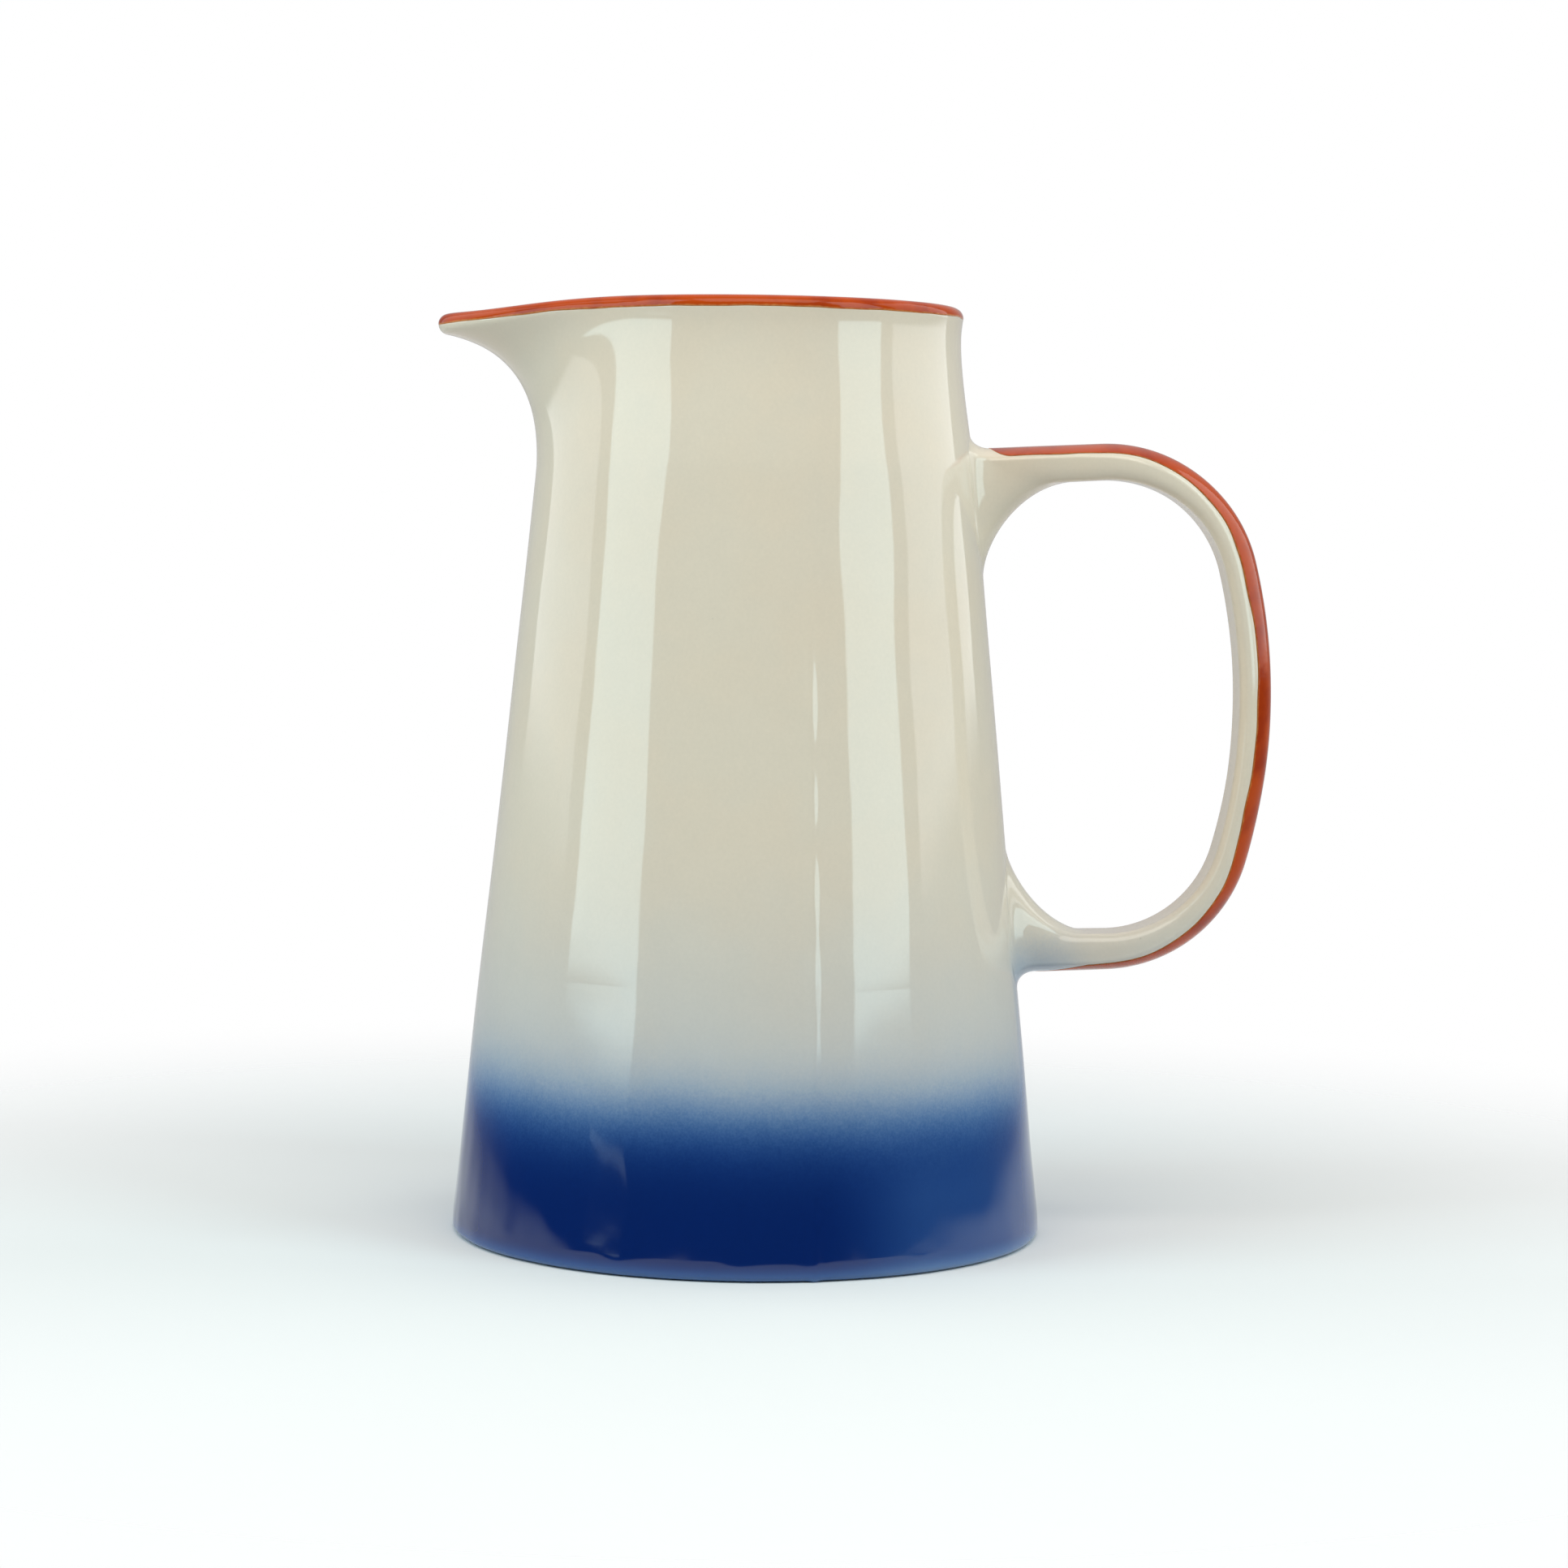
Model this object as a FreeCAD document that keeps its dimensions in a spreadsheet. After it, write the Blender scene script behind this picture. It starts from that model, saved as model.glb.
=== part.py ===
"""Ceramic pitcher: tapered slip-cast body, luted beak spout and D-shaped strap handle.

Units are millimetres. The origin is the centre of the foot on the table, +Z is up, the spout
points along -X and the handle along +X. Fired ware is one article, so the pieces here are the
ones the potter makes and joins (body, spout, handle, two luting joints, foot ring) and the
coats laid over them (base coat, rim band, handle stripe). The coats are let into the clay
under them, so nothing overlaps.
"""
import FreeCAD, Part
import math
import os

import Sketcher
from FreeCAD import Matrix, Placement, Rotation, Vector

DIMENSIONS = [
    # body, turned about the Z axis
    ("jug_height", 230.0),          # table to the top of the rim
    ("base_radius", 73.6),          # wall line carried down to the table
    ("shoulder_radius", 54.2),      # outer wall where the neck and the spout begin
    ("shoulder_depth", 40.0),       # that level, below the top of the rim
    ("neck_radius", 50.3),          # where the neck's straight line ends
    ("neck_depth", 13.0),
    ("hollow_radius", 50.1),        # slimmest ring, just under the lip
    ("hollow_depth", 8.0),
    ("rim_radius", 50.9),           # outside of the rolled lip
    ("lip_half", 2.5),              # half the lip's thickness, and its rounding
    ("wall_thickness", 4.6),
    ("floor_thickness", 6.0),
    ("floor_round", 9.0),           # inside corner between floor and wall
    ("foot_round", 3.6),            # outside corner at the foot
    ("foot_lift", 0.5),             # glazed corner's height over the table
    # bare clay ring that the jug stands on
    ("ring_inset", 5.1),            # outside of the ring, in from the wall line at the table
    ("ring_width", 6.5),
    ("ring_depth", 2.4),
    ("ring_chamfer", 0.6),
    ("ring_clearance", 0.3),
    # coats
    ("coat_thickness", 0.4),
    ("coat_height", 72.0),          # where the sprayed colour has faded out
    ("coat_full_height", 28.0),     # below this the coat has its full thickness
    ("band_thickness", 0.4),
    # beak spout
    ("spout_reach", 28.0),          # tip beyond the outside of the rim
    ("spout_dip", 3.0),             # centre of the tip's lip, below that of the rim
    ("spout_half_angle", 57.0),     # where the beak has run out into the round rim
    ("spout_nose_angle", 8.0),      # rounding of the nose, seen from above
    ("spout_power", 3.3),           # how fast the flanks fall back from the nose
    ("spout_tip_slope", 13.0),      # rise of the wall at the tip, in degrees
    ("beak_fullness", 0.6),         # power on the weight below the lip: rounder flanks there
    ("beak_foot_out", 1.1),         # start of the beak's round sweep, beyond the shoulder
    ("beak_foot_depth", 30.0),
    ("beak_mid_out", 10.6),         # middle of the sweep, beyond the rim
    ("beak_mid_depth", 14.2),
    ("beak_mid_lean", 44.0),        # how far the sweep leans out there, in degrees
    # strap handle: a rising top limb, three tangent bends and a bottom limb
    ("handle_top_depth", 39.0),     # spine of the top limb at the wall, below the rim
    ("handle_span", 120.6),         # from there down to the spine of the bottom limb at the wall
    ("handle_reach", 51.4),         # spine's furthest point, beyond the base radius
    ("handle_belly_rise", 2.2),     # height of that point over the middle of the two limbs
    ("handle_top_rise", 3.3),       # slope of the top limb, in degrees
    ("handle_low_rise", 2.0),       # slope of the bottom limb, in degrees
    ("handle_top_bend", 33.8),
    ("handle_side_bend", 140.0),
    ("handle_low_bend", 33.0),
    ("handle_width", 19.0),
    ("handle_thickness", 9.4),
    ("handle_crown", 4.6),          # how far the outer face bulges past its edges
    ("handle_corner", 3.0),
    ("stripe_width", 16.0),
    ("stripe_depth", 0.3),
    ("stripe_proud", 0.1),
    ("stripe_start", 5.5),          # bare stretch between the wall and each end of the stripe
    # luting joints: the strap's ends spread on to the wall
    ("joint_bury", 6.0),            # where each joint's own section starts, inside the wall
    ("joint_spread", 8.0),          # extra width at the wall
    ("joint_spread_length", 4.0),
    ("joint_heel", 2.5),            # small fillet on the outer side of each limb
    ("joint_heel_length", 1.6),
    ("upper_joint_length", 18.0),
    ("upper_web", 27.0),            # long web under the top limb
    ("upper_web_length", 5.2),
    ("lower_joint_length", 18.0),
    ("lower_web", 23.0),            # long web over the bottom limb
    ("lower_web_length", 7.0),
]
ALIASES = {alias for alias, _ in DIMENSIONS}

BEAK_SECTIONS = 19                  # radial sections across the beak
JOINT_STATIONS = 8                  # sections along each luting joint

# wall line, neck levels and the like, written on the aliases
SHOULDER = "( jug_height - shoulder_depth )"
TAPER = f"( base_radius - shoulder_radius ) / {SHOULDER}"
LIP_LEVEL = "jug_height - lip_half"
FLOOR_TOP = "( ring_depth + floor_thickness )"
COAT_FOOT = "( foot_lift + coat_thickness )"
RING_RADIUS = "( base_radius - ring_inset )"
GROOVE_RADIUS = f"{RING_RADIUS} + ring_clearance"
TOP_LIMB = "( jug_height - handle_top_depth )"
LOW_LIMB = f"( {TOP_LIMB} - handle_span )"
BELLY = f"( {TOP_LIMB} - handle_span / 2 + handle_belly_rise )"

doc = FreeCAD.newDocument("pitcher")
sheet = doc.addObject("Spreadsheet::Sheet", "Sizes")
for row, (alias, value) in enumerate(DIMENSIONS, start=1):
    sheet.set(f"A{row}", alias)
    sheet.set(f"B{row}", str(value))
    sheet.setAlias(f"B{row}", alias)
doc.recompute()


def size(name):
    """Value of one named cell."""
    return float(sheet.get(name))


def cells(expression):
    """Put the sheet's name before each alias; the expression's words stand apart."""
    return " ".join(f"Sizes.{word}" if word in ALIASES else word for word in expression.split())


def evaluate(expression):
    """Number that an expression on the aliases gives."""
    result = sheet.evalExpression(cells(expression))
    return float(getattr(result, "Value", result))


def wall_at(height):
    """Expression for the outer wall's radius at a height below the shoulder."""
    return f"base_radius - {TAPER} * {height}"


# ------------------------------------------------------------------ sketches and features

def body_sketch(body, name, role):
    """Sketch on one of the body's own origin planes."""
    plane = next(item for item in body.Origin.OriginFeatures if item.Role == role)
    sketch = body.newObject("Sketcher::SketchObject", name)
    sketch.AttachmentSupport = [(plane, "")]
    sketch.MapMode = "FlatFace"
    return sketch


def pin(sketch, index, end, place):
    """Hold a point of an edge at a place given as two expressions; None is on the axis."""
    for kind, axis, expression in (("DistanceX", -2, place[0]), ("DistanceY", -1, place[1])):
        if expression is None:
            sketch.addConstraint(Sketcher.Constraint("PointOnObject", index, end, axis))
        else:
            held = Sketcher.Constraint(kind, -1, 1, index, end, evaluate(expression))
            number = sketch.addConstraint(held)
            sketch.setExpression(f"Constraints[{number}]", cells(expression))


def start_end(sketch, index, start):
    """Numbers of an edge's start and end points: a sketch stores every arc anticlockwise."""
    if sketch.getPoint(index, 1).distanceToPoint(start) < 1e-6:
        return 1, 2
    return 2, 1


def draw_outline(sketch, corners):
    """Closed outline of corners (x, y) or (x, y, via): straight on, or an arc through via."""
    def at(place):
        return Vector(*(0.0 if part is None else evaluate(part) for part in place[:2]), 0)

    ends = []
    for number, corner in enumerate(corners):
        start = at(corner)
        stop = at(corners[(number + 1) % len(corners)])
        if len(corner) == 3:
            edge = Part.Arc(start, at(corner[2]), stop)
        else:
            edge = Part.LineSegment(start, stop)
        sketch.addGeometry(edge, False)
        ends.append(start_end(sketch, number, start))
    for number, corner in enumerate(corners):
        following = (number + 1) % len(corners)
        sketch.addConstraint(Sketcher.Constraint(
            "Coincident", number, ends[number][1], following, ends[following][0]))
        pin(sketch, number, ends[number][0], corner[:2])
    for number, corner in enumerate(corners):
        if len(corner) == 3:
            via = sketch.addGeometry(Part.Point(at(corner[2])), True)
            pin(sketch, via, 1, corner[2])
            sketch.addConstraint(Sketcher.Constraint("PointOnObject", via, 1, number))


def turned_body(name, corners, angle="360"):
    """PartDesign body turned about Z from an outline in the XZ plane."""
    body = doc.addObject("PartDesign::Body", name)
    body.Label = name
    sketch = body_sketch(body, f"{name}_outline", "XZ_Plane")
    draw_outline(sketch, corners)
    turn = body.newObject("PartDesign::Revolution", f"{name}_turned")
    turn.Profile = sketch
    turn.ReferenceAxis = (sketch, ["V_Axis"])
    turn.setExpression("Angle", cells(angle))
    doc.recompute()
    return body


def round_edges(body, radius, height, name, furthest=True):
    """Fillet the circular edge at a height, the furthest or the nearest one from the axis."""
    base = body.Tip
    level = evaluate(height)
    rings = []
    for number, edge in enumerate(base.Shape.Edges, start=1):
        if abs(edge.BoundBox.ZMin - level) < 1e-4 and abs(edge.BoundBox.ZMax - level) < 1e-4:
            rings.append((edge.BoundBox.XMax, f"Edge{number}"))
    rings.sort(reverse=furthest)
    fillet = body.newObject("PartDesign::Fillet", name)
    fillet.Base = (base, [rings[0][1]])
    fillet.setExpression("Radius", cells(radius))
    doc.recompute()


# ------------------------------------------------------------------ body, foot and base coat

def make_body():
    """Cast body: floor, tapered wall, slim neck and rolled lip, notched for the spout."""
    body = turned_body("body", [
        (None, "ring_depth"),
        (GROOVE_RADIUS, "ring_depth"),
        (GROOVE_RADIUS, COAT_FOOT),
        (wall_at(COAT_FOOT) + " - coat_thickness", COAT_FOOT),
        (wall_at("coat_full_height") + " - coat_thickness", "coat_full_height"),
        (wall_at("coat_height"), "coat_height"),
        ("shoulder_radius", SHOULDER),
        ("neck_radius", "jug_height - neck_depth", ("hollow_radius", "jug_height - hollow_depth")),
        ("rim_radius", LIP_LEVEL),
        ("rim_radius - band_thickness", LIP_LEVEL,
         ("rim_radius - lip_half", "jug_height - band_thickness")),
        ("rim_radius - 2 * lip_half + band_thickness", LIP_LEVEL),
        ("rim_radius - 2 * lip_half", LIP_LEVEL,
         ("hollow_radius - wall_thickness", "jug_height - hollow_depth")),
        ("neck_radius - wall_thickness", "jug_height - neck_depth"),
        ("shoulder_radius - wall_thickness", SHOULDER),
        (wall_at(FLOOR_TOP) + " - wall_thickness", FLOOR_TOP),
        (None, FLOOR_TOP),
    ])
    round_edges(body, "foot_round - coat_thickness", COAT_FOOT, "body_foot")
    round_edges(body, "floor_round", FLOOR_TOP, "body_floor")
    whole = body.Shape.Volume
    notch = body_sketch(body, "spout_notch_outline", "XY_Plane")
    notch.setExpression("AttachmentOffset.Base.z", cells(SHOULDER))
    side = "2 * base_radius"
    draw_outline(notch, [
        (None, None),
        (f"-1 * {side} * cos( spout_half_angle )", f"{side} * sin( spout_half_angle )"),
        (f"-1 * {side} * cos( spout_half_angle )", f"-1 * {side} * sin( spout_half_angle )"),
    ])
    pocket = body.newObject("PartDesign::Pocket", "spout_notch")
    pocket.Profile = notch
    pocket.Reversed = True
    pocket.setExpression("Length", cells("shoulder_depth + lip_half"))
    doc.recompute()
    if body.Shape.Volume > whole - 1.0:
        raise RuntimeError("the spout's notch cuts nothing from the body")
    return body


def make_foot_ring():
    """Bare ring under the floor, with both lower corners eased."""
    inner = f"{RING_RADIUS} - ring_width"
    body = turned_body("foot_ring", [
        (f"{inner} + ring_chamfer", "0"),
        (f"{RING_RADIUS} - ring_chamfer", "0"),
        (RING_RADIUS, "ring_chamfer"),
        (RING_RADIUS, "ring_depth"),
        (inner, "ring_depth"),
        (inner, "ring_chamfer"),
    ])
    return body


def make_base_coat():
    """Sprayed colour: full thickness round the foot, feathered out up the wall."""
    body = turned_body("base_coat", [
        (GROOVE_RADIUS, "foot_lift"),
        (wall_at("foot_lift"), "foot_lift"),
        (wall_at("coat_height"), "coat_height"),
        (wall_at("coat_full_height") + " - coat_thickness", "coat_full_height"),
        (wall_at(COAT_FOOT) + " - coat_thickness", COAT_FOOT),
        (GROOVE_RADIUS, COAT_FOOT),
    ])
    round_edges(body, "foot_round", "foot_lift", "coat_outer_foot")
    round_edges(body, "foot_round - coat_thickness", COAT_FOOT, "coat_inner_foot")
    return body


# ------------------------------------------------------------------ beak spout and rim band

def blend(start, stop, weight):
    """Value or (radius, height) pair between two, by weight."""
    if isinstance(start, tuple):
        return tuple(blend(one, two, weight) for one, two in zip(start, stop))
    return start + (stop - start) * weight


def beak_weight(angle):
    """1 on the spout's axis, 0 from the half angle on: a power curve with a rounded nose."""
    nose = size("spout_nose_angle")
    turned = math.hypot(angle, nose) - nose
    full = math.hypot(size("spout_half_angle"), nose) - nose
    return max(0.0, 1.0 - turned / full) ** size("spout_power")


def beak_section(weight):
    """Points (radius, height) of the wall's upright section, drawn out by weight."""
    height = size("jug_height")
    thick = size("wall_thickness")
    half = size("lip_half")
    band = size("band_thickness")
    shoulder = size("shoulder_radius")
    rim = size("rim_radius")
    root_level = height - size("shoulder_depth")
    full = weight ** size("beak_fullness")
    foot = blend((size("neck_radius"), height - size("neck_depth")),
                 (shoulder + size("beak_foot_out"), height - size("beak_foot_depth")), full)
    middle = blend((size("hollow_radius"), height - size("hollow_depth")),
                   (rim + size("beak_mid_out"), height - size("beak_mid_depth")), full)
    lip = blend((rim - half, height - half),
                (rim + size("spout_reach") - half, height - half - size("spout_dip")), weight)
    slope = math.radians(90.0 - (90.0 - size("spout_tip_slope")) * weight ** size("beak_fullness"))
    lean = math.radians(size("beak_mid_lean") * full)
    across = (-math.sin(slope), math.cos(slope))
    along = (math.cos(slope), math.sin(slope))

    def offset(point, direction, distance):
        return tuple(p + d * distance for p, d in zip(point, direction))

    inward = (-math.cos(lean), math.sin(lean))
    return {
        "root": (shoulder, root_level),
        "foot": foot,
        "middle": middle,
        "outer_edge": offset(lip, across, -half),
        "outer_step": offset(lip, across, band - half),
        "clay_top": offset(lip, along, half - band),
        "band_top": offset(lip, along, half),
        "inner_step": offset(lip, across, half - band),
        "inner_edge": offset(lip, across, half),
        "inner_middle": offset(middle, inward, thick),
        "inner_foot": offset(foot, (-1.0, 0.0), thick),
        "inner_root": (shoulder - thick, root_level),
    }


def upright(point, angle):
    """Point (radius, height) turned by an angle from the spout's axis, -X."""
    radius, level = point
    turn = math.radians(180.0 + angle)
    return Vector(radius * math.cos(turn), radius * math.sin(turn), level)


def section_wire(angle, steps):
    """Closed upright section at an angle; each step names its point, and an arc's middle."""
    points = beak_section(beak_weight(angle))
    edges = []
    for number, (name, via) in enumerate(steps):
        start = upright(points[name], angle)
        stop = upright(points[steps[(number + 1) % len(steps)][0]], angle)
        if via is None:
            edges.append(Part.LineSegment(start, stop).toShape())
        else:
            edges.append(Part.Arc(start, upright(points[via], angle), stop).toShape())
    return Part.Wire(edges)


WALL_STEPS = [
    ("root", None),
    ("foot", "middle"),
    ("outer_edge", None),
    ("outer_step", "clay_top"),
    ("inner_step", None),
    ("inner_edge", "inner_middle"),
    ("inner_foot", None),
    ("inner_root", None),
]
BAND_STEPS = [
    ("outer_edge", "band_top"),
    ("inner_edge", None),
    ("inner_step", "clay_top"),
    ("outer_step", None),
]


def beak_loft(steps):
    """Solid through the upright sections across the beak, closer together near the nose."""
    half_angle = size("spout_half_angle")
    middle = (BEAK_SECTIONS - 1) / 2
    wires = []
    for number in range(BEAK_SECTIONS):
        share = (number - middle) / middle
        angle = half_angle * math.copysign(abs(share) ** 1.4, share)
        wires.append(section_wire(angle, steps))
    return Part.makeLoft(wires, True, False)


def make_spout():
    """Beak drawn out of the rim, luted into the body's notch."""
    spout = doc.addObject("Part::Feature", "spout")
    spout.Label = "spout"
    spout.Shape = beak_loft(WALL_STEPS)
    return spout


def make_rim_band():
    """Painted band over the whole lip: a turned arc round the rim and a loft over the beak."""
    round_part = turned_body("rim_band_round", [
        ("rim_radius", LIP_LEVEL, ("rim_radius - lip_half", "jug_height")),
        ("rim_radius - 2 * lip_half", LIP_LEVEL),
        ("rim_radius - 2 * lip_half + band_thickness", LIP_LEVEL,
         ("rim_radius - lip_half", "jug_height - band_thickness")),
        ("rim_radius - band_thickness", LIP_LEVEL),
    ], "360 - 2 * spout_half_angle")
    round_part.Tip.Midplane = True
    beak_part = doc.addObject("Part::Feature", "rim_band_beak")
    beak_part.Shape = beak_loft(BAND_STEPS)
    band = doc.addObject("Part::Fuse", "rim_band")
    band.Label = "rim_band"
    band.Base = round_part
    band.Tool = beak_part
    return band


# ------------------------------------------------------------------ strap handle

def limb(which):
    """Where a limb's spine meets the wall, its outward direction and its outer side."""
    if which == "upper":
        level = evaluate(TOP_LIMB)
        rise = math.radians(size("handle_top_rise"))
        outer = Vector(-math.sin(rise), 0, math.cos(rise))
    else:
        level = evaluate(LOW_LIMB)
        rise = math.radians(size("handle_low_rise"))
        outer = Vector(math.sin(rise), 0, -math.cos(rise))
    start = Vector(evaluate(wall_at(str(level))), 0, level)
    return start, Vector(math.cos(rise), 0, math.sin(rise)), outer


def bend_centre(which, bend, side_centre, side_bend):
    """Centre of the bend that touches a limb and, from inside, the side arc."""
    start, along, outer = limb(which)
    nearest = start - outer * bend - side_centre
    along_part = nearest.dot(along)
    reach = side_bend - bend
    shift = -along_part + math.sqrt(along_part ** 2 - nearest.dot(nearest) + reach ** 2)
    return start + along * shift - outer * bend, start + along * shift


def spine_points(upper_start, lower_start):
    """Places along the handle's spine: ends, touching points and the middle of each bend."""
    top_bend = size("handle_top_bend")
    side_bend = size("handle_side_bend")
    low_bend = size("handle_low_bend")
    side_centre = Vector(
        evaluate("base_radius + handle_reach - handle_side_bend"), 0, evaluate(BELLY))
    top_centre, top_touch = bend_centre("upper", top_bend, side_centre, side_bend)
    low_centre, low_touch = bend_centre("lower", low_bend, side_centre, side_bend)
    top_join = side_centre + (top_centre - side_centre).normalize() * side_bend
    low_join = side_centre + (low_centre - side_centre).normalize() * side_bend

    def middle(centre, one, two, radius):
        return centre + ((one + two) * 0.5 - centre).normalize() * radius

    top_wall, top_along, _ = limb("upper")
    low_wall, low_along, _ = limb("lower")
    return [
        (top_wall + top_along * upper_start, None),
        (top_touch, middle(top_centre, top_touch, top_join, top_bend)),
        (top_join, side_centre + Vector(side_bend, 0, 0)),
        (low_join, middle(low_centre, low_join, low_touch, low_bend)),
        (low_touch, None),
        (low_wall + low_along * lower_start, None),
    ]


def spine_sketch(body, name, upper_start, lower_start):
    """Sketch of the spine in the XZ plane: line, three tangent bends, line."""
    sketch = body_sketch(body, name, "XZ_Plane")
    points = spine_points(evaluate(upper_start), evaluate(lower_start))

    def flat(point):
        return Vector(point.x, point.z, 0)

    ends = []
    for number, ((start, via), (stop, _)) in enumerate(zip(points[:-1], points[1:])):
        if via is None:
            edge = Part.LineSegment(flat(start), flat(stop))
        else:
            edge = Part.Arc(flat(start), flat(via), flat(stop))
        sketch.addGeometry(edge, False)
        ends.append(start_end(sketch, number, flat(start)))
    for number in range(len(ends) - 1):
        sketch.addConstraint(Sketcher.Constraint(
            "Tangent", number, ends[number][1], number + 1, ends[number + 1][0]))
    for number, bend in ((1, "handle_top_bend"), (2, "handle_side_bend"), (3, "handle_low_bend")):
        held = sketch.addConstraint(Sketcher.Constraint("Radius", number, size(bend)))
        sketch.setExpression(f"Constraints[{held}]", cells(bend))
    pin(sketch, 2, 3, ("base_radius + handle_reach - handle_side_bend", BELLY))
    pin(sketch, 0, ends[0][0], (
        f"{wall_at(TOP_LIMB)} + {upper_start} * cos( handle_top_rise )",
        f"{TOP_LIMB} + {upper_start} * sin( handle_top_rise )"))
    pin(sketch, 4, ends[4][1], (
        f"{wall_at(LOW_LIMB)} + {lower_start} * cos( handle_low_rise )",
        f"{LOW_LIMB} + {lower_start} * sin( handle_low_rise )"))
    return sketch


def section_sketch(body, name, upper_start, corners):
    """Cross-section at the spine's upper end, square to it: x across the strap, y outward."""
    sketch = body_sketch(body, name, "YZ_Plane")
    start = spine_points(evaluate(upper_start), 0.0)[0][0]
    turn = Rotation(Vector(1, 0, 0), -size("handle_top_rise"))
    sketch.AttachmentOffset = Placement(Vector(0, start.z, start.x), turn)
    sketch.setExpression("AttachmentOffset.Base.y", cells(
        f"{TOP_LIMB} + {upper_start} * sin( handle_top_rise )"))
    sketch.setExpression("AttachmentOffset.Base.z", cells(
        f"{wall_at(TOP_LIMB)} + {upper_start} * cos( handle_top_rise )"))
    draw_outline(sketch, corners)
    return sketch


def piped_body(name, upper_start, lower_start, corners):
    """PartDesign body of one cross-section carried along the handle's spine."""
    body = doc.addObject("PartDesign::Body", name)
    body.Label = name
    spine = spine_sketch(body, f"{name}_spine", upper_start, lower_start)
    section = section_sketch(body, f"{name}_section", upper_start, corners)
    doc.recompute()
    pipe = body.newObject("PartDesign::AdditivePipe", f"{name}_pipe")
    pipe.Profile = section
    pipe.Spine = (spine, [f"Edge{number}" for number in range(1, 6)])
    doc.recompute()
    return body


def strap_corners():
    """Strap's section: crowned outer face, flat sides, rounded inner corners."""
    side = "handle_width / 2"
    inner = "-1 * handle_thickness / 2"
    eased = "handle_corner * ( 1 - cos( 45 ) )"
    edge = "handle_thickness / 2 - handle_crown"
    return [
        (f"-1 * {side}", edge, (None, "handle_thickness / 2")),
        (side, edge),
        (side, f"{inner} + handle_corner", (f"{side} - {eased}", f"{inner} + {eased}")),
        (f"{side} - handle_corner", inner),
        (f"-1 * {side} + handle_corner", inner, (f"-1 * {side} + {eased}", f"{inner} + {eased}")),
        (f"-1 * {side}", f"{inner} + handle_corner"),
    ]


def stripe_corners():
    """Stripe's section: a strip that follows the crown, let into it and slightly proud."""
    half = "stripe_width / 2"
    crown = "( ( handle_width ^ 2 / 4 + handle_crown ^ 2 ) / ( 2 * handle_crown ) )"
    drop = f"( {crown} - sqrt( {crown} ^ 2 - stripe_width ^ 2 / 4 ) )"
    outer = "handle_thickness / 2 + stripe_proud"
    inner = "handle_thickness / 2 - stripe_depth"
    return [
        (f"-1 * {half}", f"{outer} - {drop}", (None, outer)),
        (half, f"{outer} - {drop}"),
        (half, f"{inner} - {drop}", (None, inner)),
        (f"-1 * {half}", f"{inner} - {drop}"),
    ]


# ------------------------------------------------------------------ luting joints

def strap_wire(spread, heel, web):
    """Strap's section widened by spread, thickened outward by heel and inward by web."""
    side = (size("handle_width") + spread) / 2
    outer = size("handle_thickness") / 2 + heel
    inner = -size("handle_thickness") / 2 - web
    edge = outer - size("handle_crown")
    corner = size("handle_corner") + min(spread, web) / 2
    eased = corner * (1 - math.sqrt(0.5))

    def arc(one, via, two):
        return Part.Arc(Vector(*one, 0), Vector(*via, 0), Vector(*two, 0)).toShape()

    def line(one, two):
        return Part.LineSegment(Vector(*one, 0), Vector(*two, 0)).toShape()

    return Part.Wire([
        arc((-side, edge), (0, outer), (side, edge)),
        line((side, edge), (side, inner + corner)),
        arc((side, inner + corner), (side - eased, inner + eased), (side - corner, inner)),
        line((side - corner, inner), (corner - side, inner)),
        arc((corner - side, inner), (eased - side, inner + eased), (-side, inner + corner)),
        line((-side, inner + corner), (-side, edge)),
    ])


def make_joint(which, wall_blank, stripe):
    """Collar of clay between the wall and one end of the strap, cut to the wall."""
    start, along, outer = limb(which)
    across = outer.cross(along)
    frame = Matrix(across.x, outer.x, along.x, 0,
                   across.y, outer.y, along.y, 0,
                   across.z, outer.z, along.z, 0)
    bury = size("joint_bury")
    length = size(f"{which}_joint_length")
    wires = []
    for number in range(JOINT_STATIONS):
        distance = -bury + (length + bury) * number / (JOINT_STATIONS - 1)
        fade = 1 - max(distance, 0.0) / length
        reach = max(distance, 0.0)
        wire = strap_wire(
            fade * size("joint_spread") * math.exp(-reach / size("joint_spread_length")),
            fade * size("joint_heel") * math.exp(-reach / size("joint_heel_length")),
            fade * size(f"{which}_web") * math.exp(-reach / size(f"{which}_web_length")))
        wire.Placement = Placement(start + along * distance, Rotation(frame))
        wires.append(wire)
    collar = doc.addObject("Part::Feature", f"{which}_collar")
    collar.Shape = Part.makeLoft(wires, True, False)
    saddle = doc.addObject("Part::Cut", f"{which}_saddle")
    saddle.Base = collar
    saddle.Tool = wall_blank
    joint = doc.addObject("Part::Cut", f"{which}_handle_joint")
    joint.Label = f"{which}_handle_joint"
    joint.Base = saddle
    joint.Tool = stripe
    return joint


def blank_cone(name, lower_radius, upper_radius, height, level):
    """Cone of the outer wall between two levels."""
    cone = doc.addObject("Part::Cone", name)
    cone.setExpression("Radius1", cells(lower_radius))
    cone.setExpression("Radius2", cells(upper_radius))
    cone.setExpression("Height", cells(height))
    cone.setExpression("Placement.Base.z", cells(level))
    return cone


def make_wall_blank():
    """Solid of the outer wall and neck, which trims whatever is luted on to them."""
    blank = doc.addObject("Part::Fuse", "wall_blank")
    blank.Base = blank_cone("taper_blank", "base_radius", "shoulder_radius", SHOULDER, "0")
    blank.Tool = blank_cone(
        "neck_blank", "shoulder_radius", "neck_radius", "shoulder_depth - neck_depth", SHOULDER)
    return blank


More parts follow.
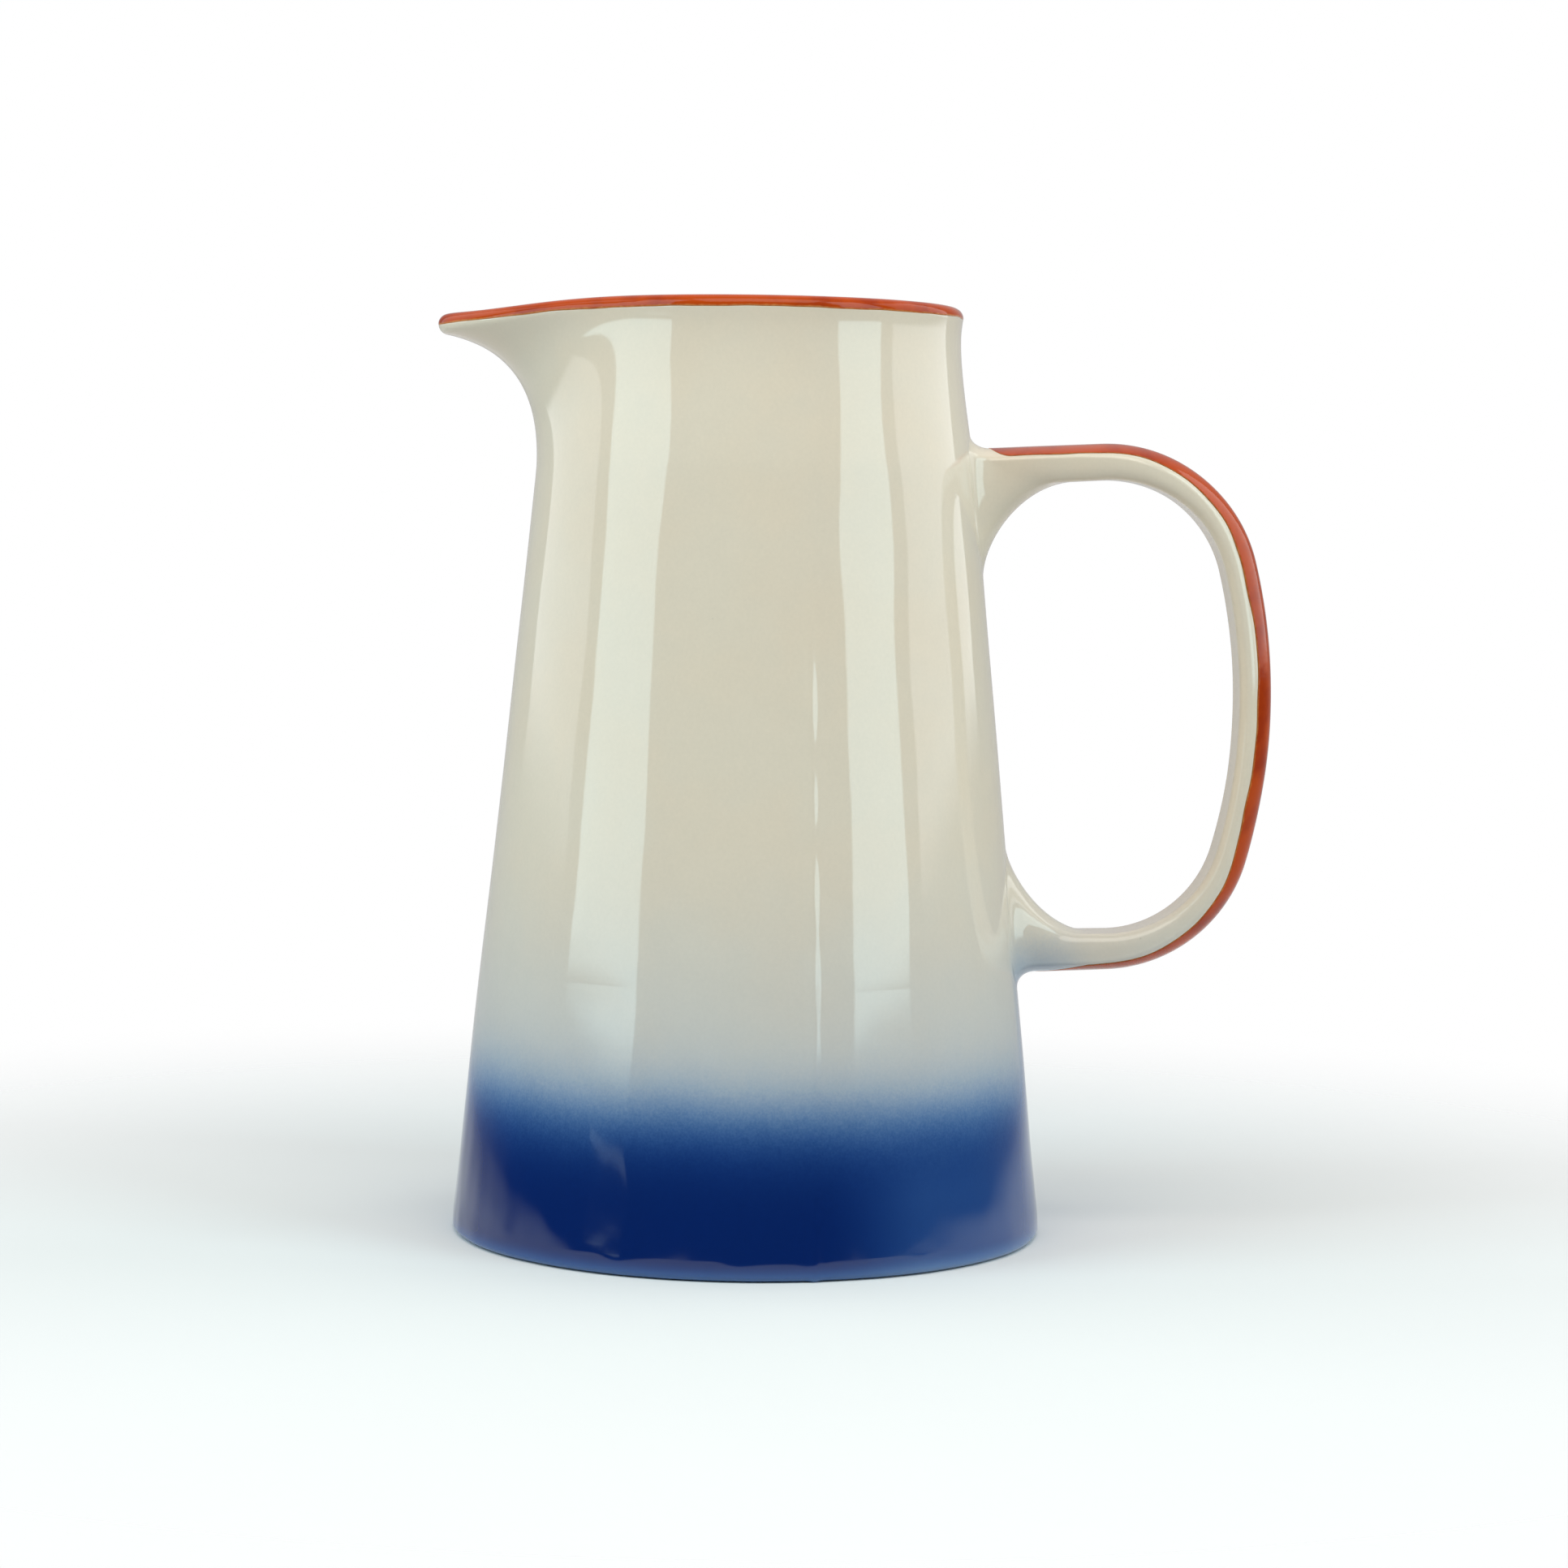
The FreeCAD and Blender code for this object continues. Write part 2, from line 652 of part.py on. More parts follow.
def make_handle_pieces():
    """Strap, its stripe and the two joints that hold it to the wall."""
    strap = piped_body("strap", "upper_joint_length", "lower_joint_length", strap_corners())
    stripe = piped_body("handle_stripe", "stripe_start", "stripe_start", stripe_corners())
    handle = doc.addObject("Part::Cut", "handle")
    handle.Label = "handle"
    handle.Base = strap
    handle.Tool = stripe
    blank = make_wall_blank()
    joints = [make_joint(which, blank, stripe) for which in ("upper", "lower")]
    return [handle, stripe] + joints


# ------------------------------------------------------------------ build, check and write

def check_document():
    """Stop if any object of the document failed to recompute."""
    for item in doc.Objects:
        if "Invalid" in item.State or "Error" in item.State:
            raise RuntimeError(f"{item.Name} failed: {item.State}")


def write_parts(nodes):
    """Check each node's solid and write it to parts/ under its label."""
    os.makedirs("parts", exist_ok=True)
    for node in nodes:
        shape = node.Shape
        if shape.isNull() or not shape.isValid() or not shape.Solids:
            raise RuntimeError(f"{node.Label} has no valid solid")
        shape.exportStep(f"parts/{node.Label}.step")
        box = shape.BoundBox
        print(f"{node.Label}: {len(shape.Solids)} solid(s), {shape.Volume / 1000:.2f} cm3, "
              f"x {box.XMin:.1f}..{box.XMax:.1f}, y {box.YMin:.1f}..{box.YMax:.1f}, "
              f"z {box.ZMin:.1f}..{box.ZMax:.1f}")


def main():
    """Make every piece, recompute, check and write."""
    nodes = [make_body(), make_foot_ring(), make_base_coat(), make_spout(), make_rim_band()]
    nodes += make_handle_pieces()
    doc.recompute()
    check_document()
    write_parts(nodes)


main()
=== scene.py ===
"""Glazed pitcher: tapered wall with a beak spout, sprayed blue foot, painted rim, strap handle.

Forms are worked out in millimetres on numpy grids and scaled to metres when a mesh is made.
The jug stands on its foot ring at the origin, +Z is up, the spout points along -X and the
handle along +X. Angles round the jug are counted from the spout: the front, -Y, is at 90
degrees and the handle at 180. Levels and reaches come from the frame's boxes.
"""
import logging
from collections.abc import Mapping, Sequence
from dataclasses import dataclass, field
from enum import Enum
from functools import cached_property
from math import atan2, ceil, cos, hypot, pi, radians, sin, sqrt, tan
from typing import Any

import bpy
import numpy as np
from mathutils import Matrix, Vector


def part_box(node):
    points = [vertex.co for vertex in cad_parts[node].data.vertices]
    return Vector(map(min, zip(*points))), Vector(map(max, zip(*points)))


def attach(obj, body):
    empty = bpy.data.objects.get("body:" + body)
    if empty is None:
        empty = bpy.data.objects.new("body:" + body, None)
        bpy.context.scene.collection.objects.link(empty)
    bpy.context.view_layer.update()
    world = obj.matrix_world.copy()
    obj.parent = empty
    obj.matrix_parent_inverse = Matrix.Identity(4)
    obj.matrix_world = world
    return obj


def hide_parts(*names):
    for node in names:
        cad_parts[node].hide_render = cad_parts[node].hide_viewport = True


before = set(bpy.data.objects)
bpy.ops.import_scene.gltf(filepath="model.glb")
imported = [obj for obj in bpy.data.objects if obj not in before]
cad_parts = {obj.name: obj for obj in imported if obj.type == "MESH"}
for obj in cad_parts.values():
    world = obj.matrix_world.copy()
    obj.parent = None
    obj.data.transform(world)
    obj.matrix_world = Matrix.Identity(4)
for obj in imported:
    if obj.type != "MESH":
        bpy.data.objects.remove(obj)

log = logging.getLogger("pitcher")
Array = np.ndarray
Span = tuple[float, float]  # a pair that belongs together: low and high, near and far
Triple = tuple[float, float, float]
Colour = tuple[float, float, float, float]  # linear, with alpha
Clouds = tuple[Triple, ...]  # layers of (spacing in millimetres, detail, height)
MM = 0.001
LEVEL = 1e9  # length of a wave that doesn't change along its second value
COAT_REACH = 0.2  # how far the glaze hangs below the frame's coat, in millimetres
STRIPE_RISE = 0.1  # how far the frame's stripe stands proud of the strap, in millimetres
MIDDLE = (0.0, 0.0, 0.065)  # point that the lamps face, in metres
ROOT = "root"


# ---------------------------------------------------------------------------- small maths

def mix(start: Any, stop: Any, weight: Any) -> Any:
    """Value between two, by weight."""
    return start + (stop - start) * weight


def ease(share: Any) -> Any:
    """Smooth step 3x^2 - 2x^3 of a share, which is held between 0 and 1."""
    held = np.clip(share, 0.0, 1.0)
    return held * held * (3.0 - 2.0 * held)


def unit(vectors: Array) -> Array:
    """Vectors scaled to length 1 along the last axis."""
    return vectors / np.linalg.norm(vectors, axis=-1, keepdims=True)


def round_the_axis(radius: Array, angle: Array, level: Array) -> Array:
    """Points at a radius, an angle from the spout and a level: (-r cos a, -r sin a, z)."""
    radius, angle, level = np.broadcast_arrays(radius, angle, level)
    return np.stack([-radius * np.cos(angle), -radius * np.sin(angle), level], axis=-1)


def rounded_path(corners: Sequence[Triple], step: float,
                 closed: bool = False, facets: int = 8) -> Array:
    """Path through corners (x, y, radius), each cut by an arc that touches both its sides.

    Where the sides turn by an angle t, the arc touches them at radius * tan(t / 2) from the
    corner and its centre is radius / cos(t / 2) from it, along the bisector. The straight
    stretches between arcs are divided evenly.

    Args:
        corners: the corners in order; a radius of 0 keeps the corner itself.
        step: longest straight piece.
        closed: whether the last corner leads back to the first.
        facets: pieces of each arc.

    Returns:
        Points of the path, (n, 2).
    """
    places = np.array([corner[:2] for corner in corners], float)
    count = len(corners)
    arcs = []
    for number, (_, _, radius) in enumerate(corners):
        inner = closed or 0 < number < count - 1
        if radius == 0.0 or not inner:
            arcs.append(places[number][None])
            continue
        back = unit(places[number - 1] - places[number])
        ahead = unit(places[(number + 1) % count] - places[number])
        half_turn = (pi - np.arccos(np.clip(back @ ahead, -1.0, 1.0))) / 2
        centre = places[number] + unit(back + ahead) * radius / cos(half_turn)
        start = unit(places[number] + back * radius * tan(half_turn) - centre)
        stop = unit(places[number] + ahead * radius * tan(half_turn) - centre)
        side = unit(stop - start * cos(2 * half_turn))
        sweep = np.linspace(0.0, 2 * half_turn, facets + 1)[:, None]
        arcs.append(centre + radius * (np.cos(sweep) * start + np.sin(sweep) * side))
    pieces = []
    for number, arc in enumerate(arcs):
        pieces.append(arc)
        if closed or number < count - 1:
            following = arcs[(number + 1) % count][0]
            parts = ceil(np.linalg.norm(following - arc[-1]) / step)
            shares = np.arange(1, parts)[:, None] / max(parts, 1)
            pieces.append(mix(arc[-1], following, shares))
    return np.concatenate(pieces)


@dataclass(frozen=True)
class Waves:
    """Sum of sine waves over two running values, for whatever is never quite even by hand.

    Each wave is (turns over the first value, length over the second, phase, height): the sum
    of height * sin(turns * a + 2 pi * b / length + phase).
    """

    waves: tuple[tuple[float, ...], ...]

    def at(self, first: Any, second: Any) -> Any:
        """Height of the waves at two values.

        Args:
            first: values that the turns count over.
            second: values that the lengths measure.

        Returns:
            The waves' sum, of the values' common shape.
        """
        total = 0.0
        for turns, length, phase, height in self.waves:
            total = total + height * np.sin(turns * first + 2 * pi * second / length + phase)
        return total


# ---------------------------------------------------------------------------- making meshes

@dataclass
class Skin:
    """Grid of points that closes into a solid skin.

    Rows follow a profile and columns go round it. Rows may close on themselves as well, or
    end in a pole at each end.
    """

    points: Array
    rows_close: bool = False
    poles: tuple[Sequence[float], Sequence[float]] | None = None
    values: Mapping[str, Array] = field(default_factory=dict)

    def quads(self) -> Array:
        """Faces of the grid, with columns always closed.

        Returns:
            Corner numbers, (n, 4).
        """
        rows, columns = self.points.shape[:2]
        numbers = np.arange(rows * columns).reshape(rows, columns)
        if self.rows_close:
            numbers = np.concatenate([numbers, numbers[:1]])
        beside = np.roll(numbers, -1, axis=1)
        corners = (numbers[:-1], beside[:-1], beside[1:], numbers[1:])
        return np.stack(corners, axis=-1).reshape(-1, 4)

    def fans(self) -> list[Array]:
        """Triangles round each pole.

        Returns:
            Corner numbers, (n, 3), for the first and the last pole.
        """
        if self.poles is None:
            return []
        rows, columns = self.points.shape[:2]
        first = np.arange(columns)
        last = first + (rows - 1) * columns
        start, stop = rows * columns, rows * columns + 1
        return [
            np.stack([np.roll(first, -1), first, np.full(columns, start)], axis=-1),
            np.stack([last, np.roll(last, -1), np.full(columns, stop)], axis=-1),
        ]

    def build(self, name: str) -> bpy.types.Object:
        """Make the mesh object, in metres, with its faces turned outward.

        Args:
            name: name of the piece.

        Returns:
            The new object, linked to the scene.
        """
        vertices = self.points.reshape(-1, 3)
        if self.poles is not None:
            vertices = np.concatenate([vertices, np.array(self.poles, float)])
        faces = [self.quads(), *self.fans()]
        first, second, third, fourth = (vertices[corner] for corner in faces[0].T)
        if np.sum(first * np.cross(second - fourth, first - third)) > 0:
            faces = [face[:, ::-1] for face in faces]
        mesh = bpy.data.meshes.new(name)
        rows = [row for face in faces for row in face.tolist()]
        mesh.from_pydata((vertices * MM).tolist(), [], rows)
        mesh.polygons.foreach_set("use_smooth", np.ones(len(mesh.polygons), bool))
        for label, numbers in self.values.items():
            spare = np.zeros(len(vertices) - numbers.size)
            held = mesh.attributes.new(label, "FLOAT", "POINT")
            held.data.foreach_set("value", np.append(numbers, spare).astype(np.float32))
        mesh.update()
        piece = bpy.data.objects.new(name, mesh)
        bpy.context.scene.collection.objects.link(piece)
        log.info("%s: %d faces", name, len(mesh.polygons))
        return piece


# ---------------------------------------------------------------------------- shader nodes

class Wire:
    """Output of a shader node, with arithmetic that adds Math nodes."""

    def __init__(self, bench: "Bench", socket: bpy.types.NodeSocket) -> None:
        """Wrap a socket of a bench's node tree."""
        self.bench = bench
        self.socket = socket

    def _math(self, operation: str, *values: Any) -> "Wire":
        """Math node on one or two values."""
        return self.bench.add("ShaderNodeMath", {"operation": operation}, dict(enumerate(values)))

    def __add__(self, other: Any) -> "Wire":
        """self + other"""
        return self._math("ADD", self, other)

    __radd__ = __add__

    def __sub__(self, other: Any) -> "Wire":
        """self - other"""
        return self._math("SUBTRACT", self, other)

    def __rsub__(self, other: Any) -> "Wire":
        """other - self"""
        return self._math("SUBTRACT", other, self)

    def __mul__(self, other: Any) -> "Wire":
        """self * other"""
        return self._math("MULTIPLY", self, other)

    __rmul__ = __mul__

    def __truediv__(self, other: Any) -> "Wire":
        """self / other"""
        return self._math("DIVIDE", self, other)

    def __rtruediv__(self, other: Any) -> "Wire":
        """other / self"""
        return self._math("DIVIDE", other, self)

    def raised_e(self) -> "Wire":
        """e to the power self"""
        return self._math("EXPONENT", self)

    def size(self) -> "Wire":
        """self without its sign"""
        return self._math("ABSOLUTE", self)

    def angle_from(self, ahead: "Wire") -> "Wire":
        """Angle whose opposite side is self and whose adjacent side is ahead"""
        return self._math("ARCTAN2", self, ahead)

    def over(self, level: float) -> "Wire":
        """1 where self is over a level, otherwise 0"""
        return self._math("GREATER_THAN", self, level)

    def between(self, low: float, high: float) -> "Wire":
        """Smooth rise from 0 at low to 1 at high"""
        inputs = {"Value": self, "From Min": low, "From Max": high}
        return self.bench.add("ShaderNodeMapRange", {"interpolation_type": "SMOOTHSTEP"}, inputs)

    def between_mm(self, low: float, high: float) -> "Wire":
        """Smooth rise over a range given in millimetres"""
        return self.between(low * MM, high * MM)


class Bench:
    """Node tree of one finish, light or world."""

    def __init__(self, owner: Any) -> None:
        """Clear the owner's node tree.

        Args:
            owner: the material, lamp or world.
        """
        owner.use_nodes = True
        self.tree = owner.node_tree
        self.tree.nodes.clear()

    def node(self, kind: str, settings: Mapping[str, Any],
             inputs: Mapping[Any, Any]) -> bpy.types.Node:
        """Add a node.

        Args:
            kind: the node's type.
            settings: its own properties, set first.
            inputs: values or wires of its sockets, by name or number.

        Returns:
            The node.
        """
        node = self.tree.nodes.new(kind)
        for name, value in settings.items():
            setattr(node, name, value)
        for name, value in inputs.items():
            socket = node.inputs[name]
            if isinstance(value, Wire):
                self.tree.links.new(value.socket, socket)
            else:
                socket.default_value = value
        return node

    def add(self, kind: str, settings: Mapping[str, Any], inputs: Mapping[Any, Any],
            output: Any = 0) -> Wire:
        """Add a node and return one of its outputs."""
        return Wire(self, self.node(kind, settings, inputs).outputs[output])

    def blend(self, start: Any, stop: Any, factor: Any) -> Wire:
        """Colour between two, by a factor."""
        inputs = {"Factor": factor, 6: start, 7: stop}
        return self.add("ShaderNodeMix", {"data_type": "RGBA"}, inputs, output=2)

    def place(self) -> Wire:
        """Place on the piece, in metres."""
        return self.add("ShaderNodeTexCoord", {}, {}, output="Object")

    def parts(self, vector: Wire) -> tuple[Wire, Wire, Wire]:
        """The three parts of a vector."""
        node = self.node("ShaderNodeSeparateXYZ", {}, {0: vector})
        return tuple(Wire(self, output) for output in node.outputs)

    def noise(self, spacing: float, detail: float) -> Wire:
        """Cloudy value about 0.5, with features about spacing millimetres wide."""
        inputs = {"Vector": self.place(), "Scale": 1.0 / (spacing * MM), "Detail": detail}
        return self.add("ShaderNodeTexNoise", {}, inputs)

    def clouds(self, layers: Clouds) -> Wire:
        """Sum of cloudy values about 0.

        Args:
            layers: spacing in millimetres, detail and height of each.

        Returns:
            The sum of height * (noise - 0.5).
        """
        total = 0.0
        for spacing, detail, height in layers:
            total = (self.noise(spacing, detail) - 0.5) * height + total
        return total

    def bump(self, height: Wire, distance: float) -> Wire:
        """Normal of a relief whose height of 1 stands for a distance in millimetres."""
        inputs = {"Height": height, "Distance": distance * MM, "Strength": 1.0}
        return self.add("ShaderNodeBump", {}, inputs)

    def specks(self, spacing: float, radius: float, share: float) -> Wire:
        """1 on scattered round specks.

        The distance to the nearest of scattered points is held under the specks' radius, and
        each point's own random colour keeps only a share of them.

        Args:
            spacing: cell size in millimetres.
            radius: size of a speck in millimetres.
            share: share of the cells that hold one.

        Returns:
            1 inside a speck, falling smoothly to 0 over the outer 0.6 of its radius.
        """
        inputs = {"Vector": self.place(), "Scale": 1.0 / (spacing * MM)}
        node = self.node("ShaderNodeTexVoronoi", {}, inputs)
        edge = radius / spacing
        near = 1.0 - Wire(self, node.outputs["Distance"]).between(0.4 * edge, edge)
        chosen = self.parts(Wire(self, node.outputs["Color"]))[0].over(1.0 - share)
        return near * chosen


def rgb(red: float, green: float, blue: float) -> Colour:
    """Linear colour with full alpha."""
    return red, green, blue, 1.0


# ---------------------------------------------------------------------------- finishes

class Slot(Enum):
    """The record's material slots."""

    CREAM_GLAZE = "cream_glaze"
    BLUE_GLAZE = "blue_glaze"
    ORANGE_ENAMEL = "orange_enamel"
    BARE_CLAY = "bare_clay"


@dataclass(frozen=True)
class Finish:
    """A surface finish. Each kind works out what its shader's sockets hold.

    Clouds are (spacing, detail, height) and specks are (spacing, radius, share), both in
    millimetres. Every height of a relief is a share of relief_depth, in millimetres.
    """

    name: str

    def sockets(self, bench: Bench) -> dict[str, Any]:
        """Values and wires of the shader's sockets."""
        raise NotImplementedError

    def material(self) -> bpy.types.Material:
        """Make the finish.

        Returns:
            The new material.
        """
        material = bpy.data.materials.new(self.name)
        bench = Bench(material)
        shader = bench.add("ShaderNodeBsdfPrincipled", {}, self.sockets(bench))
        bench.node("ShaderNodeOutputMaterial", {}, {"Surface": shader})
        return material


@dataclass(frozen=True)
class Glaze(Finish):
    """Cream glaze, sprayed with blue from the foot up.

    The spray absorbs light as a filter does: each colour of the cream is multiplied by
    e^(-density * share). The density is a heavy pass round the foot plus a light mist
    over it, each a logistic curve of the level. Blue light is lost as
    share * density^2 / (density + limit), so that a thin mist takes hardly any of it.
    """

    cream: Colour = rgb(0.776, 0.670, 0.541)
    cream_warm: Colour = rgb(0.784, 0.664, 0.527)
    mottle: Span = (24.0, 3.0)
    mottle_range: Span = (0.35, 0.65)
    tone: Clouds = ((0.8, 1.0, 0.05), (6.0, 2.0, 0.035))
    freckles: Triple = (9.0, 0.32, 0.22)
    freckle_depth: float = 0.14
    green_share: float = 0.636
    blue_share: float = 0.32
    blue_limit: float = 1.1
    pinpricks: Triple = (13.0, 0.42, 0.16)
    pinprick_colour: Colour = rgb(0.42, 0.5, 0.62)
    pinprick_strength: float = 0.8
    pinprick_density: Span = (2.0, 4.5)
    spray: Clouds = ((38.0, 3.0, 5.0), (0.55, 1.0, 2.6), (1.7, 2.0, 1.6))
    tilt: float = 12.0
    heavy: float = 5.6
    heavy_level: float = 33.5
    heavy_fade: float = 5.0
    thin_reach: Span = (16.0, 44.0)
    thin_levels: Span = (16.0, 38.0)
    thinner: float = 0.34
    worn_edge: float = 0.6
    worn_level: float = 5.0
    root_near: Span = (61.0, 67.0)
    root_far: Span = (72.0, 88.0)
    root_across: Span = (4.0, 18.0)
    root_levels: Span = (64.0, 80.0)
    root_mist: float = 0.75
    mist: float = 0.30
    mist_level: float = 72.0
    mist_fade: float = 12.0
    wall_middle: float = 71.3
    wall_taper: float = 0.107
    wall_blur: float = 1.5e-4
    floor_levels: Span = (3.5, 6.0)
    peel: Clouds = ((17.0, 1.0, 0.55), (5.0, 1.0, 0.06))
    pits: Triple = (15.0, 0.45, 0.2)
    pit_depth: float = 0.10
    relief_depth: float = 0.10
    roughness: float = 0.055
    sheen: Clouds = ((9.0, 2.0, 0.02),)

    @staticmethod
    def fading(level: Wire, middle: float, width: float) -> Wire:
        """What a pass of spray is divided by at a level: 1 + e^((level - middle) / width)."""
        return 1.0 + ((level - middle) / width).raised_e()

    def sprayed_side(self, x: Wire, y: Wire, z: Wire) -> Wire:
        """1 on the outer side of the wall and under the foot, 0 inside the jug.

        It compares x^2 + y^2 with the square of the wall's middle radius at the level.

        Args:
            x: place towards the handle, in metres.
            y: place across the jug.
            z: level.

        Returns:
            The share of the spray that reaches the place.
        """
        middle = self.wall_middle * MM - z * self.wall_taper
        outer = (x * x + y * y - middle * middle).between(-self.wall_blur, self.wall_blur)
        return 1.0 - z.between_mm(*self.floor_levels) * (1.0 - outer)

    def density(self, bench: Bench) -> Wire:
        """Blue's density at each place, with a sprayed grain in its fade.

        It is thinner on the handle's side low down, worn at the foot's edge, and caught in
        a patch on the wall and strap round the handle's lower root.

        Args:
            bench: the finish's node tree.

        Returns:
            The density, 0 where no blue fell.
        """
        x, y, z = bench.parts(bench.place())
        level = z / MM + x * self.tilt + bench.clouds(self.spray)
        low = 1.0 - z.between_mm(*self.thin_levels)
        thin = 1.0 - x.between_mm(*self.thin_reach) * low * self.thinner
        thin = thin * (1.0 - self.worn_edge * (1.0 - z.between_mm(0.0, self.worn_level)))
        heavy = self.heavy * thin / self.fading(level, self.heavy_level, self.heavy_fade)
        mist = self.mist / self.fading(level, self.mist_level, self.mist_fade)
        across = (y * y).between(*((edge * MM) ** 2 for edge in self.root_across))
        caught = x.between_mm(*self.root_near) * (1.0 - x.between_mm(*self.root_far))
        caught = caught * (1.0 - across) * (1.0 - level.between(*self.root_levels))
        return (heavy + mist + caught * self.root_mist) * self.sprayed_side(x, y, z)

    def colour(self, bench: Bench) -> Wire:
        """Base colour: mottled and freckled cream under the spray.

        Args:
            bench: the finish's node tree.

        Returns:
            The colour.
        """
        cloud = bench.noise(*self.mottle).between(*self.mottle_range)
        cream = bench.blend(self.cream, self.cream_warm, cloud)
        shade = 1.0 + bench.clouds(self.tone) - bench.specks(*self.freckles) * self.freckle_depth
        density = self.density(bench)
        lost = (density, density * self.green_share,
                density * density * self.blue_share / (density + self.blue_limit))
        passed = {axis: (loss * -1.0).raised_e() * shade for axis, loss in enumerate(lost)}
        filtered = bench.add("ShaderNodeCombineXYZ", {}, passed)
        tinted = bench.add("ShaderNodeVectorMath", {"operation": "MULTIPLY"},
                           {0: cream, 1: filtered})
        pale = bench.specks(*self.pinpricks) * density.between(*self.pinprick_density)
        return bench.blend(tinted, self.pinprick_colour, pale * self.pinprick_strength)

    def sockets(self, bench: Bench) -> dict[str, Any]:
        """Glossy coat over slow swell, fine peel and a few pinholes.

        Args:
            bench: the finish's node tree.

        Returns:
            Values and wires of the shader's sockets.
        """
        relief = bench.clouds(self.peel) - bench.specks(*self.pits) * self.pit_depth
        return {"Base Color": self.colour(bench), "IOR": 1.5,
                "Roughness": self.roughness + bench.clouds(self.sheen),
                "Normal": bench.bump(relief, self.relief_depth)}


@dataclass(frozen=True)
class Enamel(Finish):
    """Burnt orange brushed on with a paler fringe where the brush runs thin.

    The piece's own value edge_mm is the distance from the painted edge.
    """

    deep: Colour = rgb(0.50, 0.060, 0.005)
    dark: Colour = rgb(0.35, 0.033, 0.005)
    fringe: Colour = rgb(0.72, 0.28, 0.08)
    fringe_width: float = 0.6
    fray: Clouds = ((1.6, 2.0, 0.5),)
    pool: Span = (11.0, 3.0)
    pool_range: Span = (0.42, 0.72)
    brush: Clouds = ((4.0, 2.0, 1.0),)
    step_width: float = 0.5
    step_height: float = 0.4
    relief_depth: float = 0.05
    roughness: float = 0.075
    sheen: Clouds = ((3.0, 2.0, 0.04),)

    def sockets(self, bench: Bench) -> dict[str, Any]:
        """Brushed colour with a step at its edge.

        Args:
            bench: the finish's node tree.

        Returns:
            Values and wires of the shader's sockets.
        """
        from_edge = bench.add("ShaderNodeAttribute", {"attribute_name": "edge_mm"}, {},
                              output="Fac")
        body = bench.blend(self.deep, self.dark, bench.noise(*self.pool).between(*self.pool_range))
        covered = (from_edge + bench.clouds(self.fray)).between(0.0, self.fringe_width)
        step = from_edge.between(0.0, self.step_width) * self.step_height
        relief = bench.clouds(self.brush) + step
        return {"Base Color": bench.blend(self.fringe, body, covered), "Specular IOR Level": 0.22,
                "Roughness": self.roughness + bench.clouds(self.sheen),
                "Normal": bench.bump(relief, self.relief_depth)}


@dataclass(frozen=True)
class BareClay(Finish):
    """Unglazed stoneware, ground flat: sandy grain, dark grog and a rubbed underside."""

    light: Colour = rgb(0.62, 0.545, 0.44)
    tan: Colour = rgb(0.47, 0.385, 0.285)
    grog: Colour = rgb(0.2, 0.15, 0.11)
    patches: Span = (7.0, 4.0)
    patch_range: Span = (0.4, 0.75)
    grog_specks: Triple = (2.2, 0.3, 0.25)
    grog_strength: float = 0.7
    grain: Clouds = ((0.7, 3.0, 1.0),)
    pits: Triple = (3.0, 0.35, 0.3)
    pit_depth: float = 0.8
    relief_depth: float = 0.15
    roughness: float = 0.78
    grain_roughness: float = 0.2

    def sockets(self, bench: Bench) -> dict[str, Any]:
        """Sandy colour and grain.

        Args:
            bench: the finish's node tree.

        Returns:
            Values and wires of the shader's sockets.
        """
        grain = bench.clouds(self.grain)
        patches = bench.noise(*self.patches).between(*self.patch_range)
        grog = bench.specks(*self.grog_specks) * self.grog_strength
        relief = grain - bench.specks(*self.pits) * self.pit_depth
        sandy = bench.blend(self.light, self.tan, patches)
        return {"Base Color": bench.blend(sandy, self.grog, grog),
                "IOR": 1.45, "Roughness": self.roughness + grain * self.grain_roughness,
                "Normal": bench.bump(relief, self.relief_depth)}


def dress(piece: bpy.types.Object, finish: Finish, slot: Slot, *nodes: str) -> None:
    """Give a piece its finish and its place in the frame.

    Args:
        piece: the finished piece.
        finish: its finish.
        slot: the record's slot that the finish comes from; not used.
        nodes: the frame's nodes that it stands for.
    """
    piece.data.materials.append(finish.material())
    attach(piece, ROOT)
    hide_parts(*nodes)


# ---------------------------------------------------------------------------- the jug's form

